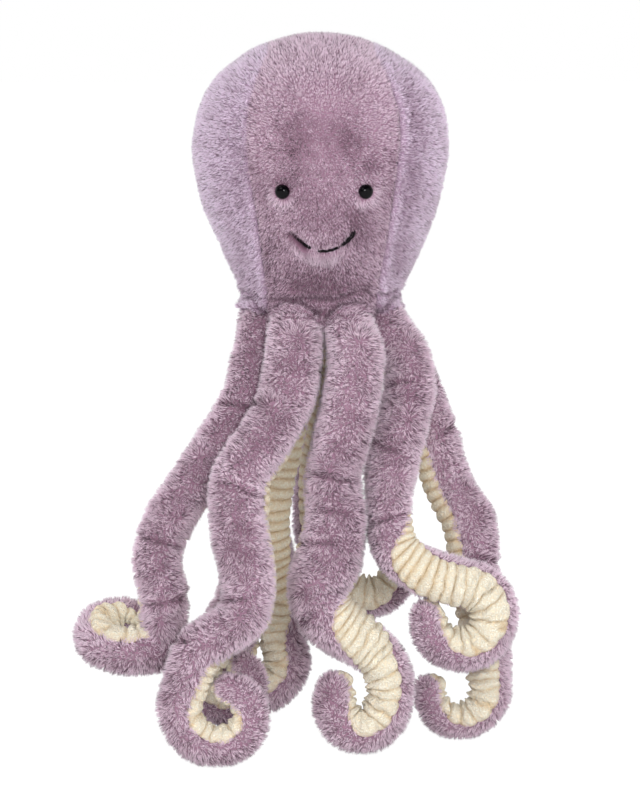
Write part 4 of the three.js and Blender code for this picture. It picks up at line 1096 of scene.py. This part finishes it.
for seed, arm in enumerate(arms):
    course = arm_course(arm, resting_height(arm) if arm.get("rests") else 0)
    name = body = "arm_" + arm["name"]
    whole, curl_from = course["gone"][-1], course["curl_from"]

    # The plush outside
    rings = with_round_ends(every(2, course), arm_inset, 9)
    left, right = strip_edges(arm["name"], rings["gone"], whole)
    clear = seam_gap / np.maximum(rings["radius"], thinnest)
    lift = arm_lump * drift(rings["place"], arm_lump_wave, 200 + seed)[:, None]
    grid, angle = strip(rings, right + clear, 2 * math.pi + left - clear, 21, lift)
    side_half = np.where(angle < math.pi, math.pi - right[:, None], math.pi + left[:, None])
    spread = (angle - math.pi) / side_half
    normals = grid_normals(grid, rings["place"][:, None])
    ahead, gone = rings["ahead"][:, None], rings["gone"][:, None]
    around = unit(-np.sin(angle)[..., None] * rings["under"][:, None]
                  + np.cos(angle)[..., None] * rings["side"][:, None])
    flow = ahead + 1.1 * (np.sign(spread) * np.abs(spread) ** 4)[..., None] * around
    lean = arm_lean + 0.35 * np.abs(spread) ** 4
    calm = 0 * spread
    dark = arm_dark + 0.14 * drift(grid, arm_dark_wave, 225 + seed)
    # The pile is paler, with fewer dark hairs, towards the plush's edges: painted rim light.
    dark -= 0.12 * smoothstep(np.abs(spread), 0.3, 0.8)
    shade = arm_shade + 0.07 * drift(grid, arm_shade_wave, 210 + seed)
    shade += 0.07 * drift(grid, arm_lock_wave, 220 + seed) + 0.15 * smoothstep(np.abs(spread), 0.2, 0.85)
    # Painted shade on the top of the arm, under the head.
    shade -= 0.4 * smoothstep(-gone, under_head_shade_from, under_head_shade_to)
    for at, middle, reach, deep, slant in folds[arm["name"]]:
        beyond = gone - at - slant * (spread - middle) / reach
        window = smoothstep(1 - np.abs(spread - middle) / reach, 0, 0.6)
        crease, sides = window * bell(beyond, crease_reach), window * bell(beyond, crease_sides)
        grid = grid + normals * (0.5 * deep * sides - 1.3 * deep * crease)[..., None]
        flow = flow + 2 * ahead * (np.sign(beyond) * sides)[..., None]
        lean = lean + 0.25 * sides
        # Painted shade and more dark hairs down each crease.
        dark = dark + 0.6 * crease
        shade = shade - 0.15 * crease
    for at, middle in whorls[arm["name"]]:
        off_round = (spread - middle) * plush_half * rings["radius"][:, None]
        off = np.stack([gone - at + 0 * spread, off_round], -1)
        far = np.linalg.norm(off, axis=-1)
        parted = bell(far, whorl_reach)
        out = off / np.maximum(far, least_off)[..., None]
        flow = flow + 4 * parted[..., None] * (out[..., :1] * ahead + out[..., 1:] * around)
        lean = lean + 0.35 * parted
        calm = np.maximum(calm, 0.55 * parted)
        dark = dark + 0.16 * bell(far, whorl_dark_reach)
    flow = unit(flow - (flow * normals).sum(-1, keepdims=True) * normals)
    length = arm_pile * (0.8 + 0.2 * smoothstep(rings["radius"], *thin_tip))[:, None] + 0 * spread
    skin = {"places": grid + head_axis, "normals": normals, "flow": flow, "lean": lean, "length": length,
            "dark": dark, "shade": shade, "pale": 0 * spread, "calm": calm}
    cover = cover_piece(f"{name}_pile", skin, arm_tufts, 50 + seed)
    cover.data.materials.append(arm_plush)
    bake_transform(cover)
    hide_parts(f"{name}_plush")

    # The ribbed underside
    fine = with_round_ends(course, rib_inset, 14)
    gone, radius = fine["gone"], fine["radius"]
    left, right = strip_edges(arm["name"], gone, whole)
    pucker = smoothstep(gone, curl_from - pucker_lead, curl_from - pucker_full)
    surface = fine["place"] + radius[:, None] * fine["under"]
    pitch = rib_pitch + (puckered_pitch - rib_pitch) * pucker
    counted = np.cumsum(np.linalg.norm(np.gradient(surface, axis=0), axis=1) / pitch)
    row_rib = np.sqrt(1 - rib_flatness * (2 * (counted % 1) - 1) ** 2)
    more = (scalloped[0] - scalloped[1] * (1 - row_rib)) / np.maximum(radius, thinnest)
    thick = 1 - (1 - open_curls.get(arm["name"], 1)) * smoothstep(gone, curl_from - 0.02, curl_from + 0.01)
    full_from, full_to, fullness = full_strips.get(arm["name"], (0, 1, 0))
    proud = fullness * smoothstep(gone, full_from - 0.02, full_from)
    proud = proud * (1 - smoothstep(gone, full_to, full_to + 0.02)) - curl_thinning * (1 - thick)
    grid, angle = strip(fine, left - more, right + more, 14, proud[:, None])
    half = ((right - left) / 2 + more)[:, None]
    angle = angle - (left + right)[:, None] / 2
    pucker, thick = pucker[:, None], thick[:, None]

    # A rib's line wanders, slants and swells, most of all where the strip is puckered
    wander = drift(fine["place"], sway_wave, 230 + seed)[:, None] * (0.1 + 0.2 * pucker)
    wander = wander + drift(grid, rib_sway_wave, 235 + seed) * (0.06 + 0.07 * pucker)
    slant = drift(fine["place"], rib_slant_wave, 238 + seed)[:, None] * (0.08 + 0.2 * pucker)
    swelling = 1 + 0.40 * drift(grid, rib_swell_wave, 240 + seed) * (0.3 + 0.7 * pucker)
    rib = np.sqrt(1 - rib_flatness * (2 * ((counted[:, None] + wander + slant * angle) % 1) - 1) ** 2)
    edge = np.clip(1 - np.abs(angle / half) ** 5, 0, 1) ** 0.5
    height = rib_height * (0.9 + 0.5 * pucker) * swelling * thick
    normals = grid_normals(grid, fine["place"][:, None])
    bulge = np.minimum(rib * height * edge, 0.5 * radius[:, None])
    grid = grid + normals * bulge[..., None]
    inner = grid - normals * (strip_backing + bulge[..., None])
    rows, columns = grid.shape[:2]
    turned_in = np.cross(grid[9, 8] - grid[9, 7], grid[10, 7] - grid[9, 7]) @ normals[9, 7]
    quads = shell_faces(rows, columns, turned_in > 0)
    triangles = np.concatenate([quads[:, [0, 1, 2]], quads[:, [0, 2, 3]]])
    points = np.concatenate([grid.reshape(-1, 3), inner.reshape(-1, 3)]) + head_axis
    underside = mesh_piece(f"{name}_ribbing", points, triangles)
    depth = underside.data.attributes.new("rib", "FLOAT", "POINT")
    # How lit each point of the strip is painted: full on a rib's crest, less down between the ribs and
    # towards the strip's edges (painted shade).
    rib_lit = (rib**1.6 * (1 - pucker) + np.minimum(1.3 * rib, 1) * pucker) * (0.7 + 0.3 * edge)
    depth.data.foreach_set("value", np.tile(rib_lit.ravel(), 2).astype(np.float32))
    underside.data.materials.append(cream_look.material)
    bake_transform(underside)
    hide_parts(f"{name}_underside")

    # The fibre inside
    sparse = with_round_ends(every(6, course), core_inset, 5)
    no_turn = np.zeros(len(sparse["radius"]))
    core, _ = strip(sparse, no_turn, no_turn + 2 * math.pi * (core_sides - 1) / core_sides, core_sides)
    stuffing = closed_tube(f"{name}_stuffing", core + head_axis)
    stuffing.data.materials.append(fibre_look.material)
    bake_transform(stuffing)
    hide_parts(f"{name}_filling")

# The floor, the light and the camera
# The toy stands on a plain white floor in a white studio that is dim behind the camera. The light is
# soft: one lamp in front, one high to the front left, one to the front right and two behind.

white, floor_size, floor_lit, floor_share, sky_lit = (1, 1, 1, 1), 30, 1.17, 0.8, 0.58


def rays_of(shading):
    """Where the camera looks straight, by a reflection or through something clear."""
    return [shading.node("ShaderNodeLightPath", out=f"Is {ray} Ray")
            for ray in ("Camera", "Glossy", "Transmission")]


floor_look = Look("white_floor", base_color=(0.93, 0.93, 0.93, 1), roughness=1.0, specular_ior_level=0.0)
lit = floor_look.node("ShaderNodeEmission", {}, {"Color": white, "Strength": floor_lit})
camera_ray, glossy_ray, through_ray = rays_of(floor_look)
seen = (camera_ray + glossy_ray + through_ray) * floor_share
mixed = floor_look.node("ShaderNodeMixShader", {}, {0: seen, 2: lit})
floor_look.tree.links.new(floor_look.surface.outputs[0], mixed.socket.node.inputs[1])
floor_look.tree.links.new(mixed.socket, floor_look.tree.nodes["Material Output"].inputs[0])
bpy.ops.object.select_all(action="DESELECT")
bpy.ops.mesh.primitive_plane_add(size=floor_size, location=(0, 0, 0))
floor = bpy.context.active_object
floor.name = "floor"
floor.data.materials.append(floor_look.material)

world = bpy.data.worlds.new("studio")
bpy.context.scene.world = world
world.use_nodes = True
sky = Shading(world.node_tree)
ambient = sky.tree.nodes["Background"]
ambient.inputs["Color"].default_value, ambient.inputs["Strength"].default_value = white, sky_lit
towards = sky.node("ShaderNodeSeparateXYZ", {}, {0: sky.node("ShaderNodeTexCoord", out="Generated")}, out="Y")
room = sky.node("ShaderNodeMapRange", {}, {
    "Value": towards, "From Min": -0.1, "From Max": 0.2, "To Min": 0.1, "To Max": 1.0})
camera_ray, glossy_ray, through_ray = rays_of(sky)
bright = room.maths("MAXIMUM", room, camera_ray)
shown = sky.node("ShaderNodeBackground", {}, {"Color": white, "Strength": bright})
direct = camera_ray.maths("MAXIMUM", camera_ray, glossy_ray)
choice = sky.node("ShaderNodeMixShader", {}, {0: direct.maths("MAXIMUM", direct, through_ray), 2: shown})
sky.tree.links.new(ambient.outputs[0], choice.socket.node.inputs[1])
sky.tree.links.new(choice.socket, sky.tree.nodes["World Output"].inputs[0])

# Each lamp's name, place, size and power. All of them face the middle of the toy.
lamps = [("key", (-1.6, -2.0, 2.1), 1.4, 20), ("front", (0.15, -2.35, 0.74), 0.60, 34),
         ("right_front", (1.7, -1.9, 0.8), 1.6, 9), ("left_back", (-2.0, 1.1, 0.9), 1.5, 26),
         ("right_back", (2.0, 1.1, 0.9), 1.5, 18)]
lamps_look_at = Vector((0, 0, 0.25))
for name, place, size, power in lamps:
    lamp = bpy.data.lights.new(name, "AREA")
    lamp.size, lamp.energy = size, power
    lamp_object = bpy.data.objects.new(name, lamp)
    bpy.context.scene.collection.objects.link(lamp_object)
    lamp_object.location = place
    lamp_object.rotation_euler = (lamps_look_at - Vector(place)).to_track_quat("-Z", "Y").to_euler()

turn, tip, camera_away = math.radians(-2), math.radians(7), 2.4
target = Vector((head_axis[0], head_axis[1], 0.2353))
back = Vector((math.sin(turn) * math.cos(tip), -math.cos(turn) * math.cos(tip), math.sin(tip)))
camera = bpy.data.cameras.new("camera")
camera.lens, camera.clip_end = 155.25, 60
camera_object = bpy.data.objects.new("camera", camera)
bpy.context.scene.collection.objects.link(camera_object)
camera_object.location = target + back * camera_away
camera_object.rotation_euler = (-back).to_track_quat("-Z", "Y").to_euler()
bpy.context.scene.camera = camera_object
bpy.context.scene.view_settings.view_transform = "Standard"
